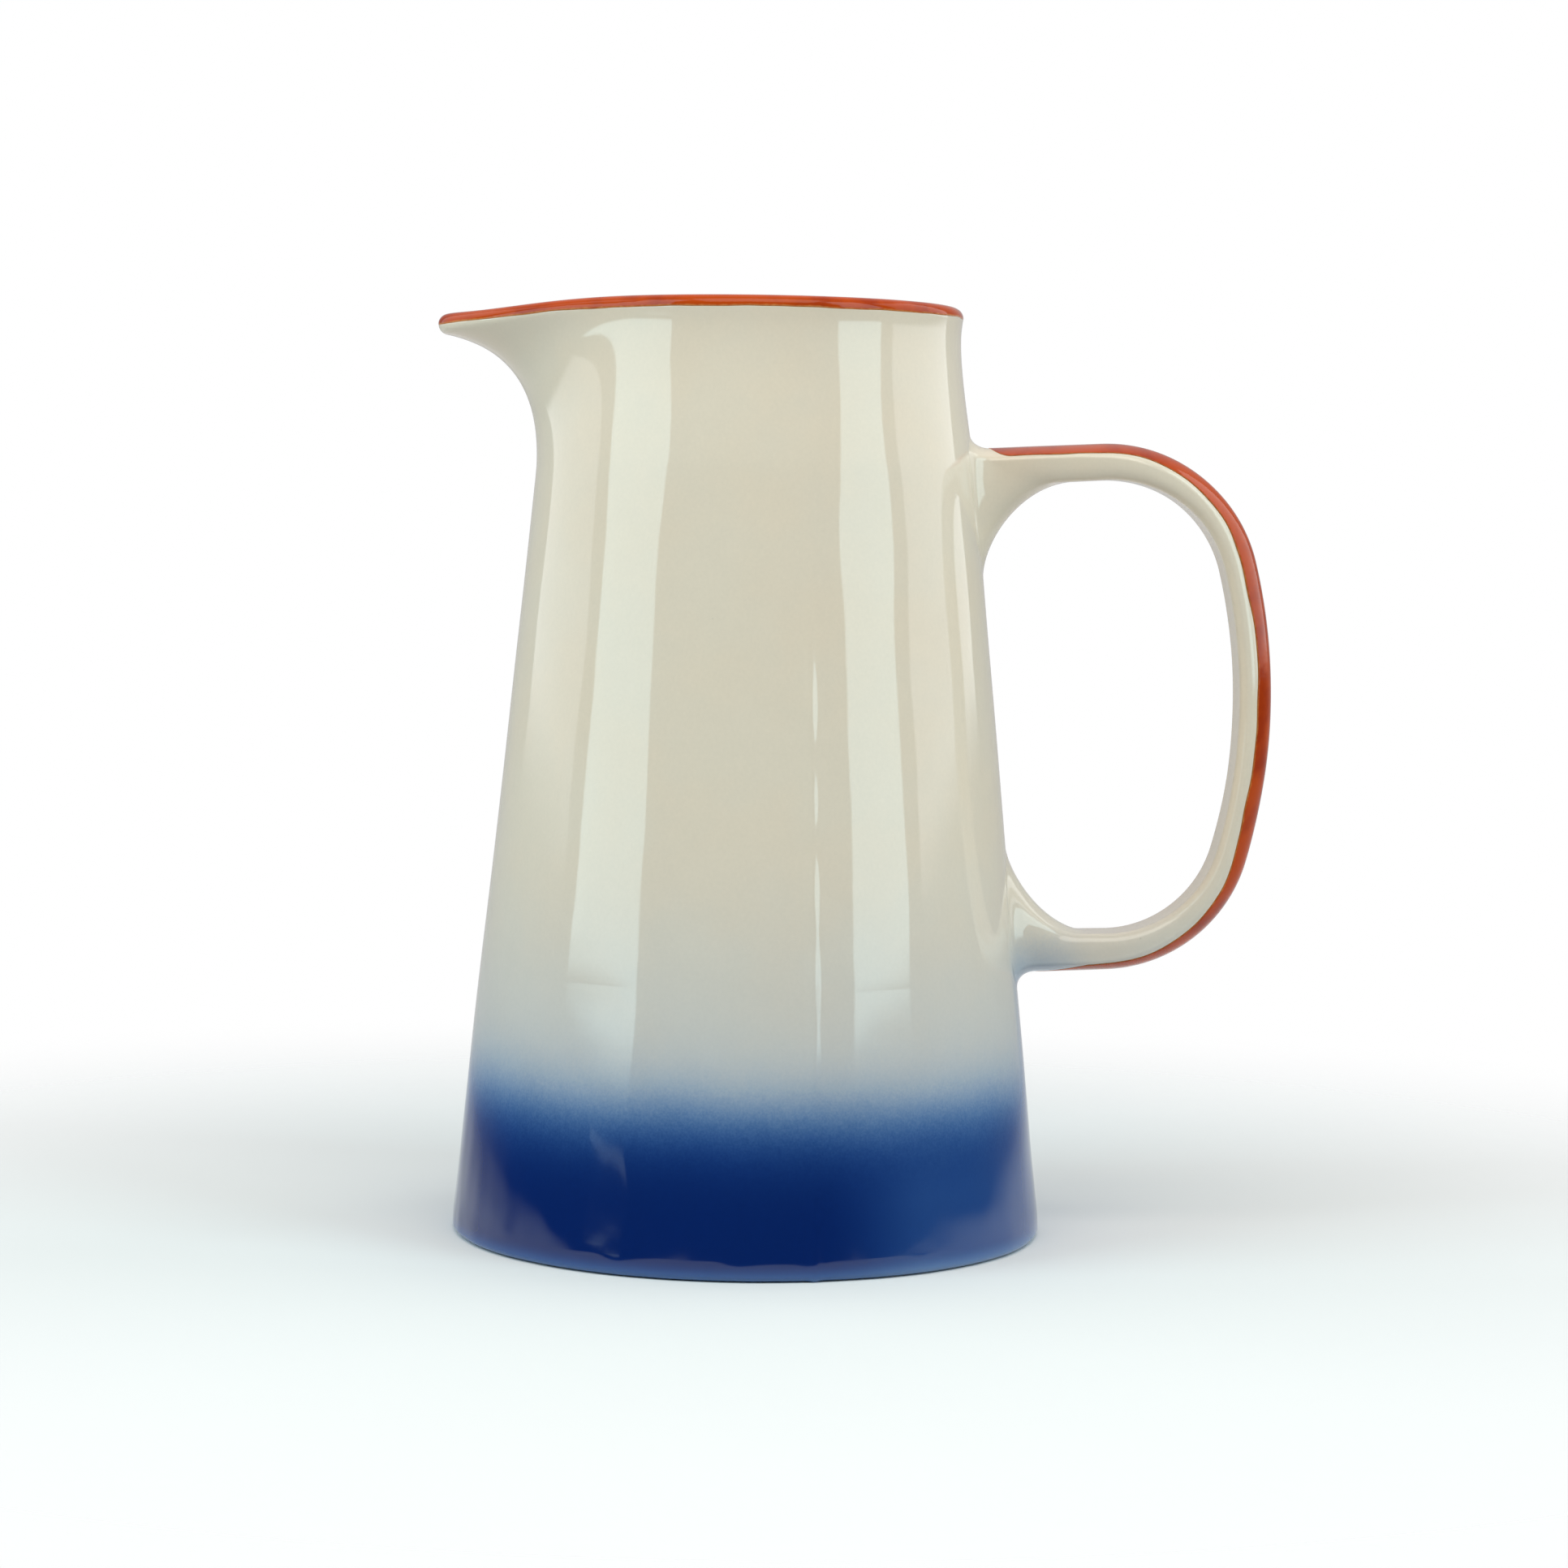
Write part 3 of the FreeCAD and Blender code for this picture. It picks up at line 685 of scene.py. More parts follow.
@dataclass
class JugForm:
    """Outer form that the wall, coat, rim and handle share, in millimetres."""

    height: float
    shoulder_level: float
    tip_radius: float
    coat_level: float
    ring_radius: float
    base_radius: float = 73.6
    shoulder_radius: float = 54.2
    rim_radius: float = 50.9
    lip_half: float = 2.5
    thickness: float = 4.6
    coat_thickness: float = 0.4
    coat_full_level: float = 28.0
    coat_gap: float = 0.04
    coat_lap: float = 2.6
    tuck_level: float = 4.5
    tuck_lean: float = 0.06
    spout_dip: float = 3.0
    column_count: int = 300
    crowding: Span = (0.32, 0.68)
    wall_start: float = 10.5
    wall_rows: int = 72
    neck_rows: int = 56
    lip_slopes: Span = (79.0, 11.0)
    lip_levers: Span = (8.0, 19.4)
    shoulder_levers: Span = (12.0, 14.0)
    shoulder_pulls: Span = (1.6, 0.4)
    shoulder_ease: float = 0.05
    groove: float = 0.3
    groove_round: float = 0.15
    inner_tuck_round: float = 6.0
    half_angle: float = radians(57.0)
    nose_angle: float = radians(8.0)
    nose_power: float = 2.7
    fullness: float = 0.7
    droop: float = 1.0
    seam_angles: Span = (radians(103.0), radians(-77.0))
    seam_width: float = 1.5
    seam_height: float = 0.46
    seam_middle: float = 80.0
    seam_reach: float = 2.6
    seam_columns: int = 15
    seam_top: Span = (172.0, 40.0)
    seam_wear: Span = (9.0, 5.3)
    bead: float = 0.04
    bead_drop: float = 1.3
    bead_width: float = 1.5
    runs: Waves = Waves((
        (29, 61.0, 0.3, 0.030), (43, -47.0, 2.2, 0.022), (61, 90.0, 4.4, 0.012),
        (12, 30.0, 1.0, 0.05)))
    runs_top: Span = (46.0, 40.0)
    scallops: Waves = Waves((
        (31, LEVEL, 0.4, 0.024), (47, LEVEL, 2.1, 0.018), (19, LEVEL, 1.0, 0.022)))
    scallop_level: float = 5.4
    scallop_depth: float = 1.9
    ripple: Waves = Waves((
        (3, 230.0, 0.4, 0.10), (4, -150.0, 3.3, 0.07), (7, 96.0, 4.0, 0.045),
        (10, -63.0, 1.2, 0.028), (15, 45.0, 5.5, 0.014)))
    ripple_fade: float = 14.0
    ripple_at_foot: float = 0.35
    lip_margin: float = 4.0

    @property
    def taper(self) -> float:
        """How much the wall leans in for each millimetre up."""
        return (self.base_radius - self.shoulder_radius) / self.shoulder_level

    def straight_radius(self, level: Any) -> Any:
        """Radius of the straight wall at a level."""
        return self.base_radius - self.taper * level

    @cached_property
    def columns(self) -> Array:
        """Angles of the grid's columns: close together at the nose and over the mould seams.

        The base set is pi * (even s + crowded s^3) for s from -1 to 1.

        Returns:
            Angles, sorted, with none closer than a tenth of a degree.
        """
        even, crowded = self.crowding
        spread = np.linspace(-1.0, 1.0, self.column_count, endpoint=False)
        base = pi * (even * spread + crowded * spread ** 3)
        middle_radius = self.straight_radius(self.seam_middle)
        reach = np.linspace(-self.seam_reach, self.seam_reach, self.seam_columns)
        seams = [angle + reach * self.seam_width / middle_radius for angle in self.seam_angles]
        joined = np.sort(np.concatenate([base, *seams]))
        return joined[np.append(True, np.diff(joined) > radians(0.1))]

    @property
    def groove_radius(self) -> float:
        """Inner edge of the glaze round the foot ring."""
        return self.ring_radius + self.groove

    @property
    def full_inset(self) -> float:
        """How far the wall lies back under the coat's full thickness."""
        return self.coat_thickness + self.coat_gap

    def foot_radius(self, level: float) -> float:
        """Radius of the leaning foot at a level under the tuck."""
        return self.straight_radius(self.tuck_level) + self.tuck_lean * (self.tuck_level - level)

    def beak_weight(self, angle: Array) -> Array:
        """1 on the spout's axis and 0 from the half angle on.

        With n the nose's rounding, it is (1 - (hypot(a, n) - n) / (hypot(half, n) - n)) ^ power.

        Args:
            angle: angles from the spout, in radians.

        Returns:
            The weight, 0 to 1.
        """
        turned = np.hypot(angle, self.nose_angle) - self.nose_angle
        full = hypot(self.half_angle, self.nose_angle) - self.nose_angle
        return np.clip(1.0 - turned / full, 0.0, 1.0) ** self.nose_power

    def seam(self, angle: Array, level: Array) -> Array:
        """Height of the fettled mould seams: bell-shaped ridges that fade out up the wall.

        Args:
            angle: angles from the spout, in radians.
            level: levels, in millimetres.

        Returns:
            The ridges' height.
        """
        total = 0.0
        for seam_angle in self.seam_angles:
            turned = np.angle(np.exp(1j * (angle - seam_angle)))
            away = turned * self.straight_radius(level) / self.seam_width
            total = total + np.exp(-away ** 2)
        long, short = self.seam_wear
        worn = 0.75 + 0.25 * np.sin(level / long) * np.sin(level / short + 1.0)
        top, fade = self.seam_top
        return self.seam_height * total * worn * ease((top - level) / fade)

    def unevenness(self, angle: Array, level: Array) -> Array:
        """How far the glazed surface stands off its true form: ripple, runs, scallops and seams.

        Args:
            angle: angles from the spout, in radians.
            level: levels, in millimetres.

        Returns:
            The distance, outward.
        """
        margin = self.height - self.lip_margin - level
        swell = self.ripple.at(angle, level) * ease(margin / self.ripple_fade)
        swell = swell * mix(self.ripple_at_foot, 1.0, ease(level / self.ripple_fade))
        top, fade = self.runs_top
        runs = self.runs.at(angle, level) * ease((top - level) / fade)
        beside = (level - self.scallop_level) / self.scallop_depth
        scallops = self.scallops.at(angle, 0.0) * np.exp(-beside ** 2)
        return swell + runs + scallops + self.seam(angle, level)

    def neck(self, share: Array, angle: Array) -> tuple[Array, Array]:
        """Radius and level of the wall over the shoulder.

        Each column is a cubic Bezier curve from the shoulder to the lip's outer edge. Its
        points go from the round neck's to the beak's by the beak's weight, taken to a lower
        power below the lip so that the flanks are full.

        Args:
            share: 0 at the shoulder to 1 at the lip's edge, as a column.
            angle: angles from the spout, as a row.

        Returns:
            Radii and levels, (rows, columns).
        """
        weight = self.beak_weight(angle)
        full = weight ** self.fullness
        slope = np.radians(mix(*self.lip_slopes, weight ** self.droop))
        reach = mix(self.rim_radius, self.tip_radius, weight) - self.lip_half
        centre_level = self.height - self.lip_half - self.spout_dip * weight
        across, up = np.cos(slope), np.sin(slope)
        lever = mix(*self.lip_levers, full)
        last = (reach + self.lip_half * up, centre_level - self.lip_half * across)
        third = (last[0] - lever * across, last[1] - lever * up)
        first = (self.shoulder_radius + self.shoulder_ease * full, self.shoulder_level)
        second = (self.shoulder_radius - mix(*self.shoulder_pulls, full),
                  self.shoulder_level + mix(*self.shoulder_levers, full))
        rest = 1.0 - share
        parts = (rest ** 3, 3 * rest ** 2 * share, 3 * rest * share ** 2, share ** 3)
        radius, level = (
            sum(part * point[axis] for part, point in zip(parts, (first, second, third, last)))
            for axis in (0, 1))
        return radius, level

    @cached_property
    def outside(self) -> Array:
        """True outer surface from the foot to the lip's outer edge.

        Returns:
            Points, (rows, columns, 3).
        """
        angle = self.columns[None]
        level = np.linspace(self.wall_start, self.shoulder_level, self.wall_rows, endpoint=False)
        wall = round_the_axis(self.straight_radius(level[:, None]), angle, level[:, None])
        radius, neck_level = self.neck(np.linspace(0.0, 1.0, self.neck_rows)[:, None], angle)
        return np.concatenate([wall, round_the_axis(radius, angle, neck_level)])

    @cached_property
    def normals(self) -> Array:
        """Outward directions of the outer surface.

        Returns:
            Unit vectors, (rows, columns, 3).
        """
        up = np.gradient(self.outside, axis=0)
        along = np.roll(self.outside, -1, axis=1) - np.roll(self.outside, 1, axis=1)
        return unit(np.cross(along, up))

    def lip(self, turn: Array, offset: Array) -> Array:
        """Points round the lip.

        In each column the lip is a half circle from the outer edge, turn 0, over the top to
        the inner edge, turn pi. Past either end it runs straight on down the wall.

        Args:
            turn: how far round the lip, (rows, columns).
            offset: how far off its surface, (rows, columns).

        Returns:
            Points, (rows, columns, 3).
        """
        edge, out = self.outside[-1][None], self.normals[-1][None]
        rise = self.outside[-1] - self.outside[-2]
        up = unit(rise - np.sum(rise * out[0], axis=-1, keepdims=True) * out[0])[None]
        centre = edge - out * self.lip_half
        held = np.clip(turn, 0.0, pi)[..., None]
        beyond = (np.abs(turn - np.clip(turn, 0.0, pi)) * self.lip_half)[..., None]
        spread = self.lip_half + offset[..., None]
        return centre + spread * (np.cos(held) * out + np.sin(held) * up) - up * beyond

    @cached_property
    def lip_lean(self) -> Array:
        """Turn at which each column's lip is highest.

        Returns:
            The turn, in radians, for each column.
        """
        out = self.normals[-1]
        rise = unit(self.outside[-1] - self.outside[-2])
        return np.arctan2(rise[:, 2], out[:, 2])

    def radius_at(self, angle: Array, level: Array) -> Array:
        """Radius of the uneven outer surface away from the spout.

        Args:
            angle: angles from the spout, in radians.
            level: levels, in millimetres.

        Returns:
            The radius, in millimetres.
        """
        radius, neck_level = self.neck(np.linspace(0.0, 1.0, 40)[:, None], np.array([[pi]]))
        levels = np.append([0.0], neck_level[:, 0])
        radii = np.append([self.base_radius], radius[:, 0])
        return np.interp(level, levels, radii) + self.unevenness(angle, level)

    def coat_inset(self, level: Array) -> Array:
        """How far the wall lies back under the sprayed coat at a level.

        Args:
            level: levels, in millimetres.

        Returns:
            The distance, inward.
        """
        start = self.coat_level - self.coat_lap
        fade = (start - level) / (start - self.coat_full_level)
        return self.full_inset * np.clip(fade, 0.0, 1.0)


# ---------------------------------------------------------------------------- body and base

@dataclass
class GlazedWall:
    """Body and spout in one skin: underside, wall, neck, beak, rolled lip, inside and floor."""

    form: JugForm
    foot_level: float
    floor_thickness: float = 6.0
    floor_round: float = 9.0
    foot_round: float = 1.0
    recess: float = 2.4
    floor_hole: float = 4.0
    wall_top: float = 9.5
    corner_margin: float = 3.0
    thick_parts: float = 5.75
    lip_rows: int = 18

    def underside(self) -> Array:
        """Recessed floor, groove round the ring and the foot's corner, up to the first wall row.

        Returns:
            Points, (rows, columns, 3).
        """
        form = self.form
        inset = form.full_inset
        level = self.foot_level + inset
        profile = rounded_path([
            (self.floor_hole, self.recess, 0.0),
            (form.groove_radius, self.recess, 0.25),
            (form.groove_radius, level, form.groove_round),
            (form.foot_radius(level) - inset, level, self.foot_round),
            (form.straight_radius(form.tuck_level) - inset, form.tuck_level,
             form.inner_tuck_round),
            (form.straight_radius(self.wall_top) - inset, self.wall_top, 0.0),
        ], 6.0)
        return round_the_axis(profile[:, :1], form.columns[None], profile[:, 1:])

    def outside(self) -> Array:
        """Uneven outer surface, let back under the coat.

        Returns:
            Points, (rows, columns, 3).
        """
        form = self.form
        level = form.outside[..., 2]
        off = form.unevenness(form.columns[None], level)
        below = form.outside[-1:, :, 2] - level - form.bead_drop
        off = off - form.coat_inset(level) + form.bead * np.exp(-(below / form.bead_width) ** 2)
        return form.outside + form.normals * off[..., None]

    def lip(self) -> Array:
        """Rolled lip, without its two edges."""
        turn = np.linspace(0.0, pi, self.lip_rows + 2)[1:-1, None]
        return self.form.lip(turn, np.zeros_like(turn))

    def inside(self) -> Array:
        """Inner surface down to the floor's round corner: the outer one moved in by the thickness.

        It thickens to the lip over the top one of thick_parts parts of the rows. Every other
        row is enough inside.

        Returns:
            Points, (rows, columns, 3), from the lip down.
        """
        form = self.form
        kept = form.outside[:, 0, 2] > self.floor_level + self.floor_round + self.corner_margin
        below = np.linspace(self.thick_parts, 0.0, int(kept.sum()))[:, None]
        thickness = mix(form.thickness, 2 * form.lip_half, ease(1.0 - below))
        inner = form.outside[kept] - form.normals[kept] * thickness[..., None]
        return inner[::-2]

    @property
    def floor_level(self) -> float:
        """Top of the floor."""
        return self.recess + self.floor_thickness

    def floor(self, start: Array) -> Array:
        """Round corner and floor, in from the inside's last row.

        Args:
            start: that row's radius and level.

        Returns:
            Points, (rows, columns, 3).
        """
        lean = self.form.taper * (start[1] - self.floor_level)
        profile = rounded_path([
            (start[0], start[1], 0.0),
            (start[0] + lean, self.floor_level, self.floor_round),
            (self.floor_hole, self.floor_level, 0.0),
        ], 5.0, facets=12)[1:]
        return round_the_axis(profile[:, :1], self.form.columns[None], profile[:, 1:])

    def build(self) -> bpy.types.Object:
        """Make the skin and dress it.

        Returns:
            The piece.
        """
        inside = self.inside()
        last = inside[-1, 0]
        rows = [self.underside(), self.outside(), self.lip(), inside,
                self.floor(np.array([hypot(last[0], last[1]), last[2]]))]
        poles = ((0.0, 0.0, self.recess), (0.0, 0.0, self.floor_level))
        piece = Skin(np.concatenate(rows), poles=poles).build("glazed_wall")
        dress(piece, Glaze("cream_glaze"), Slot.CREAM_GLAZE, "body", "spout")
        return piece


@dataclass
class SprayedCoat:
    """Blue sprayed round the foot: full thickness at the foot, feathered out up the wall."""

    form: JugForm
    foot_level: float
    foot_round: float = 1.3
    proud: float = 0.012
    edge: float = 0.05
    edge_drops: Span = (0.35, 0.15)
    tuck_round: float = 34.0
    nib_height: float = 0.27
    nib_radius: float = 72.0
    nib_widths: Span = (1.1, 1.4)
    nib_levels: Span = (4.0, 3.0)

    def profile(self) -> Array:
        """Closed section: outer line up, feathered edge, inner line down, underside.

        Returns:
            Radii and levels, (n, 2).
        """
        form = self.form
        thick = form.coat_thickness
        inner_level = self.foot_level + thick
        low, high = (form.coat_level - drop for drop in self.edge_drops)
        top = form.straight_radius(form.coat_level)
        tuck = form.straight_radius(form.tuck_level)
        return rounded_path([
            (form.groove_radius, self.foot_level, form.groove_round),
            (form.foot_radius(self.foot_level), self.foot_level, self.foot_round),
            (tuck, form.tuck_level, self.tuck_round),
            (top + self.proud, low, 0.0),
            (top + self.proud, high, 0.0),
            (top - self.proud, form.coat_level, 0.0),
            (top - self.edge, high, 0.0),
            (form.straight_radius(form.coat_full_level) - thick, form.coat_full_level, 0.0),
            (tuck - thick, form.tuck_level, form.inner_tuck_round),
            (form.foot_radius(inner_level) - thick, inner_level, self.foot_round - thick),
            (form.groove_radius, inner_level, form.groove_round),
        ], 2.0, closed=True, facets=14)

    def build(self) -> bpy.types.Object:
        """Make the shell and dress it.

        A drip hangs from the first mould seam under the foot's corner: a bell
        e^(-(a / w)^2 - ((r - middle) / v)^2) of the distance a round the foot and the radius r.

        Returns:
            The piece.
        """
        radius, level = self.profile().T[..., None]
        angle = self.form.columns[None]
        away = np.angle(np.exp(1j * (angle - self.form.seam_angles[0]))) * self.form.base_radius
        wide, deep = self.nib_widths
        drip = np.exp(-(away / wide) ** 2 - ((radius - self.nib_radius) / deep) ** 2)
        top, fade = self.nib_levels
        level = level - self.nib_height * drip * ease((top - level) / fade)
        points = round_the_axis(radius + self.form.unevenness(angle, level), angle, level)
        piece = Skin(points, rows_close=True).build("sprayed_coat")
        dress(piece, Glaze("blue_glaze"), Slot.BLUE_GLAZE, "base_coat")
        return piece


@dataclass
class FootRing:
    """Bare ring that the jug stands on, wiped clean of glaze and ground flat."""

    form: JugForm
    width: float = 6.5
    depth: float = 2.4
    corner: float = 0.7
    ground_back: float = 0.1
    columns: int = 240
    wear: Waves = Waves(((9, LEVEL, 0.3, 0.05), (23, LEVEL, 2.0, 0.03), (41, LEVEL, 4.4, 0.02)))

    def build(self) -> bpy.types.Object:
        """Make the ring and dress it.

        Returns:
            The piece.
        """
        outer = self.form.ring_radius
        profile = rounded_path([
            (outer - self.width, 0.0, self.corner),
            (outer, 0.0, self.corner),
            (outer, self.depth, 0.0),
            (outer - self.width, self.depth, 0.0),
        ], 1.1, closed=True, facets=6)
        angle = np.linspace(0.0, 2 * pi, self.columns, endpoint=False)[None]
        side = np.where(profile[:, :1] > outer - self.width / 2, -1.0, 1.0)
        radius = profile[:, :1] + side * (self.wear.at(angle, 0.0) + self.ground_back)
        points = round_the_axis(radius, angle, profile[:, 1:])
        piece = Skin(points, rows_close=True).build("bare_foot_ring")
        dress(piece, BareClay("bare_clay"), Slot.BARE_CLAY, "foot_ring")
        return piece


@dataclass
class PaintedRim:
    """Band of enamel brushed over the whole lip."""

    form: JugForm
    proud: float = 0.1
    depth: float = 0.15
    edge_drop: float = 0.12
    inner_run: float = 0.35
    rows: int = 29
    edge_power: int = 8
    hand: Waves = Waves((
        (5, LEVEL, 0.2, 0.04), (11, LEVEL, 1.9, 0.03), (19, LEVEL, 4.0, 0.02),
        (37, LEVEL, 2.2, 0.012)))

    def build(self) -> bpy.types.Object:
        """Make the band and dress it.

        The band's lower edge lies just under the lip's middle level all the way round, so it
        climbs towards the tip of the beak, where the lip leans out. Its surface stands proud
        by 1 - (2s - 1)^n of the paint's thickness, n the edge power, for s from edge to edge.

        Returns:
            The piece.
        """
        form = self.form
        angle = form.columns[None]
        fall = np.arccos(-self.edge_drop)
        low = form.lip_lean[None] - fall + self.hand.at(angle, 0.0)
        high = np.minimum(form.lip_lean[None] + fall, pi + self.inner_run)
        high = high + self.hand.at(angle + 1.0, 0.0) * 2.0
        share = np.linspace(0.0, 1.0, self.rows)[:, None]
        share = np.concatenate([share, share[-2:0:-1]])
        thick = np.where(np.arange(len(share)) < self.rows, self.proud, -self.depth)[:, None]
        turn = mix(low, high, share)
        offset = thick * (1.0 - (2.0 * share - 1.0) ** self.edge_power)
        from_edge = np.minimum(turn - low, high - turn) * form.lip_half
        skin = Skin(form.lip(turn, offset), rows_close=True, values={"edge_mm": from_edge})
        piece = skin.build("painted_rim")
        dress(piece, Enamel("orange_enamel_rim"), Slot.ORANGE_ENAMEL, "rim_band")
        return piece


# ---------------------------------------------------------------------------- handle

@dataclass(frozen=True)
class LutedEnd:
    """How one end of the strap spreads on to the wall, in millimetres."""

    rise: float
    up: float
    heel: float
    web: float
    half_width: float
    heel_run: float
    side_run: float
    web_run: float
    web_power: float
    softness: float = 0.25
    squareness: float = 2.4

    def footprint(self, across: Array, out: Array) -> tuple[Array, Array, Array]:
        """Place on the wall that each point of the strap's section spreads to.

        The section's own shape, scaled to run from -1 to 1, is drawn out to a rounded outline
        |a|^n + |b|^n = 1, n the squareness, then stretched to the half width, heel and web.

        Args:
            across: place across the strap, -1 to 1.
            out: place through the strap, -1 inside to 1 outside.

        Returns:
            Distance across, distance outward along the wall, and the outward share.
        """
        power = self.squareness
        reach = (np.abs(across) ** power + np.abs(out) ** power + 1e-9) ** (1 / power)
        side, share = across / reach, out / reach
        length = mix(self.web, self.heel, ease((share + 0.7) / 1.4))
        return side * self.half_width, share * length, share

    def fade(self, distance: Array, share: Array) -> Array:
        """How much of the spread is left at a distance from the wall, 1 to 0.

        It is the concave fillet 1 - (1 - l^n)^(1/n) over a run that is short at the heel and
        long on the web. With s the softness and k = 1 - distance / run, l is
        k^2 (1 + s) / (k + s), which eases the far end into the strap.

        Args:
            distance: distance from the wall along the spine.
            share: outward share of the place on the section.

        Returns:
            The share of the spread.
        """
        heel, web = np.clip(share, 0.0, 1.0), np.clip(-share, 0.0, 1.0)
        run = self.side_run + (self.heel_run - self.side_run) * heel ** 2
        run = run + (self.web_run - self.side_run) * web ** 1.5
        power = mix(1.8 + 0.2 * heel, self.web_power, web)
        left = 1.0 - np.clip(distance / run, 0.0, 1.0)
        left = left ** 2 * (1.0 + self.softness) / (left + self.softness)
        return 1.0 - (1.0 - left ** power) ** (1.0 / power)


@dataclass
class StrapHandle:
    """D-shaped strap pulled from clay, luted to the wall at both ends, with a painted stripe."""

    form: JugForm
    reach: float
    width: float = 19.0
    crown: float = 4.6
    edge_round: float = 0.9
    corner: float = 3.0
    top_depth: float = 39.0
    span: float = 120.6
    belly_rise: float = 2.2
    bends: Triple = (33.8, 140.0, 33.0)
    nominal: float = 9.4
    thickness: tuple[float, float, float, float] = (9.3, 8.5, 8.5, 10.0)
    crowning: tuple[float, float, float, float] = (0.58, 1.25, 1.25, 0.5)
    upper: LutedEnd = LutedEnd(radians(3.3), 1.0, 7.8, 27.5, 12.6, 5.2, 5.8, 26.0, 1.6)
    lower: LutedEnd = LutedEnd(radians(2.0), -1.0, 9.0, 26.4, 12.6, 5.7, 5.8, 20.0, 1.6)
    flat_fade: float = 5.0
    spine_steps: int = 6000
    end_run: float = 22.0
    end_rows: int = 30
    middle_rows: int = 190
    hidden_rows: tuple[Span, Span] = ((1.03, 0.12), (0.9, 2.4))
    swell_fade: float = 20.0
    swell_thick: float = 0.12
    swell_wide: float = 0.1
    swell: Waves = Waves(((1.0, 83.0, 0.5, 0.10), (2.0, 41.0, 2.0, 0.05), (3.0, 27.0, 4.1, 0.025)))

    def limb(self, end: LutedEnd) -> tuple[Array, Array, Array]:
        """A limb's start on the wall, its direction away from it and its outer side, as (x, z).

        Args:
            end: the luted end.

        Returns:
            Place, direction and outer side, each (x, z).
        """
        level = self.form.height - self.top_depth - (0.0 if end.up > 0 else self.span)
        along = np.array([cos(end.rise), sin(end.rise)])
        outer = end.up * np.array([-sin(end.rise), cos(end.rise)])
        return np.array([self.form.straight_radius(level), level]), along, outer

    @cached_property
    def path(self) -> tuple[Array, Array]:
        """Places along the spine where its bend changes, and its heading at each.

        The bend beside each limb touches the limb's line and, from inside, the side bend: its
        centre is one radius in from the line and (side radius - radius) from the side centre.

        Returns:
            Distances along the spine and headings in radians.
        """
        top, side, low = self.bends
        level = self.form.height - self.top_depth - self.span / 2 + self.belly_rise
        middle = np.array([self.reach - side, level])
        runs, joins = [], []
        for end, radius in ((self.upper, top), (self.lower, low)):
            start, along, outer = self.limb(end)
            nearest = start - outer * radius - middle
            part = nearest @ along
            run = -part + sqrt(part ** 2 - nearest @ nearest + (side - radius) ** 2)
            centre = start + along * run - outer * radius
            runs.append(run)
            joins.append(atan2(*(centre - middle)[::-1]) - pi / 2)
        headings = [self.upper.rise, self.upper.rise, joins[0], joins[1],
                    self.lower.rise - pi, self.lower.rise - pi]
        lengths = [runs[0], top * (headings[1] - joins[0]), side * (joins[0] - joins[1]),
                   low * (joins[1] - headings[4]), runs[1]]
        return np.append(0.0, np.cumsum(lengths)), np.array(headings)

    @property
    def length(self) -> float:
        """Length of the spine."""
        return float(self.path[0][-1])

    def spine(self, along: Array) -> tuple[Array, Array, Array]:
        """Spine's x, z and heading: the heading is linear between bends, and its sum is the place.

        Args:
            along: distance along the spine.

        Returns:
            The x, z and heading, of the same shape.
        """
        places, headings = self.path
        steps = np.linspace(0.0, self.length, self.spine_steps + 1)
        middles = np.interp((steps[1:] + steps[:-1]) / 2, places, headings)
        start = self.limb(self.upper)[0]
        step = steps[1]
        x = start[0] + np.append(0.0, np.cumsum(np.cos(middles) * step))
        z = start[1] + np.append(0.0, np.cumsum(np.sin(middles) * step))
        heading = np.interp(along, places, headings)
        return np.interp(along, steps, x), np.interp(along, steps, z), heading

    def scale(self, along: Array) -> Array:
        """Strap's thickness over its nominal one: it gets thicker down the loop."""
        knots = self.path[0][[0, 2, 3, 5]]
        return np.interp(along, knots, self.thickness) / self.nominal

    def crown_at(self, across: Array) -> Array:
        """Outer face's height over the spine, for the nominal thickness: a parabola."""
        return self.nominal / 2 - self.crown * (2 * across / self.width) ** 2

    def flattened(self, along: Array, across: Array, out: Array) -> Array:
        """Height of a point of the section where the crown is flatter, near the luted ends.

        Args:
            along: distance along the spine.
            across: distance across the strap.
            out: distance out from the spine.

        Returns:
            The new distance out.
        """
        places = self.path[0]
        knots = [places[1] * 0.8, mix(places[1], places[2], 0.9), mix(places[3], places[4], 0.1),
                 places[4] + 4.0]
        share = np.interp(along, knots, self.crowning)
        lost = self.crown * (2 * across / self.width) ** 2 * (1.0 - share)
        edge = self.nominal / 2 - self.crown
        return out + lost * ease((out - edge + self.flat_fade) / self.flat_fade)

    @cached_property
    def section(self) -> Array:
        """Closed section (across, out): crowned outer face, eased edges and rounded inner corners.

        Returns:
            Points, (n, 2), for the nominal thickness.
        """
        side, inner = self.width / 2, -self.nominal / 2
        edge = self.nominal / 2 - self.crown
        outline = rounded_path([
            (side, edge, self.edge_round), (-side, edge, self.edge_round),
            (-side, inner, self.corner), (side, inner, self.corner),
        ], 0.55, closed=True, facets=7)
        bulge = self.crown * (1.0 - (outline[:, 0] / side) ** 2)
        outline[:, 1] += np.where(outline[:, 1] > edge - self.edge_round, bulge, 0.0)
        return outline

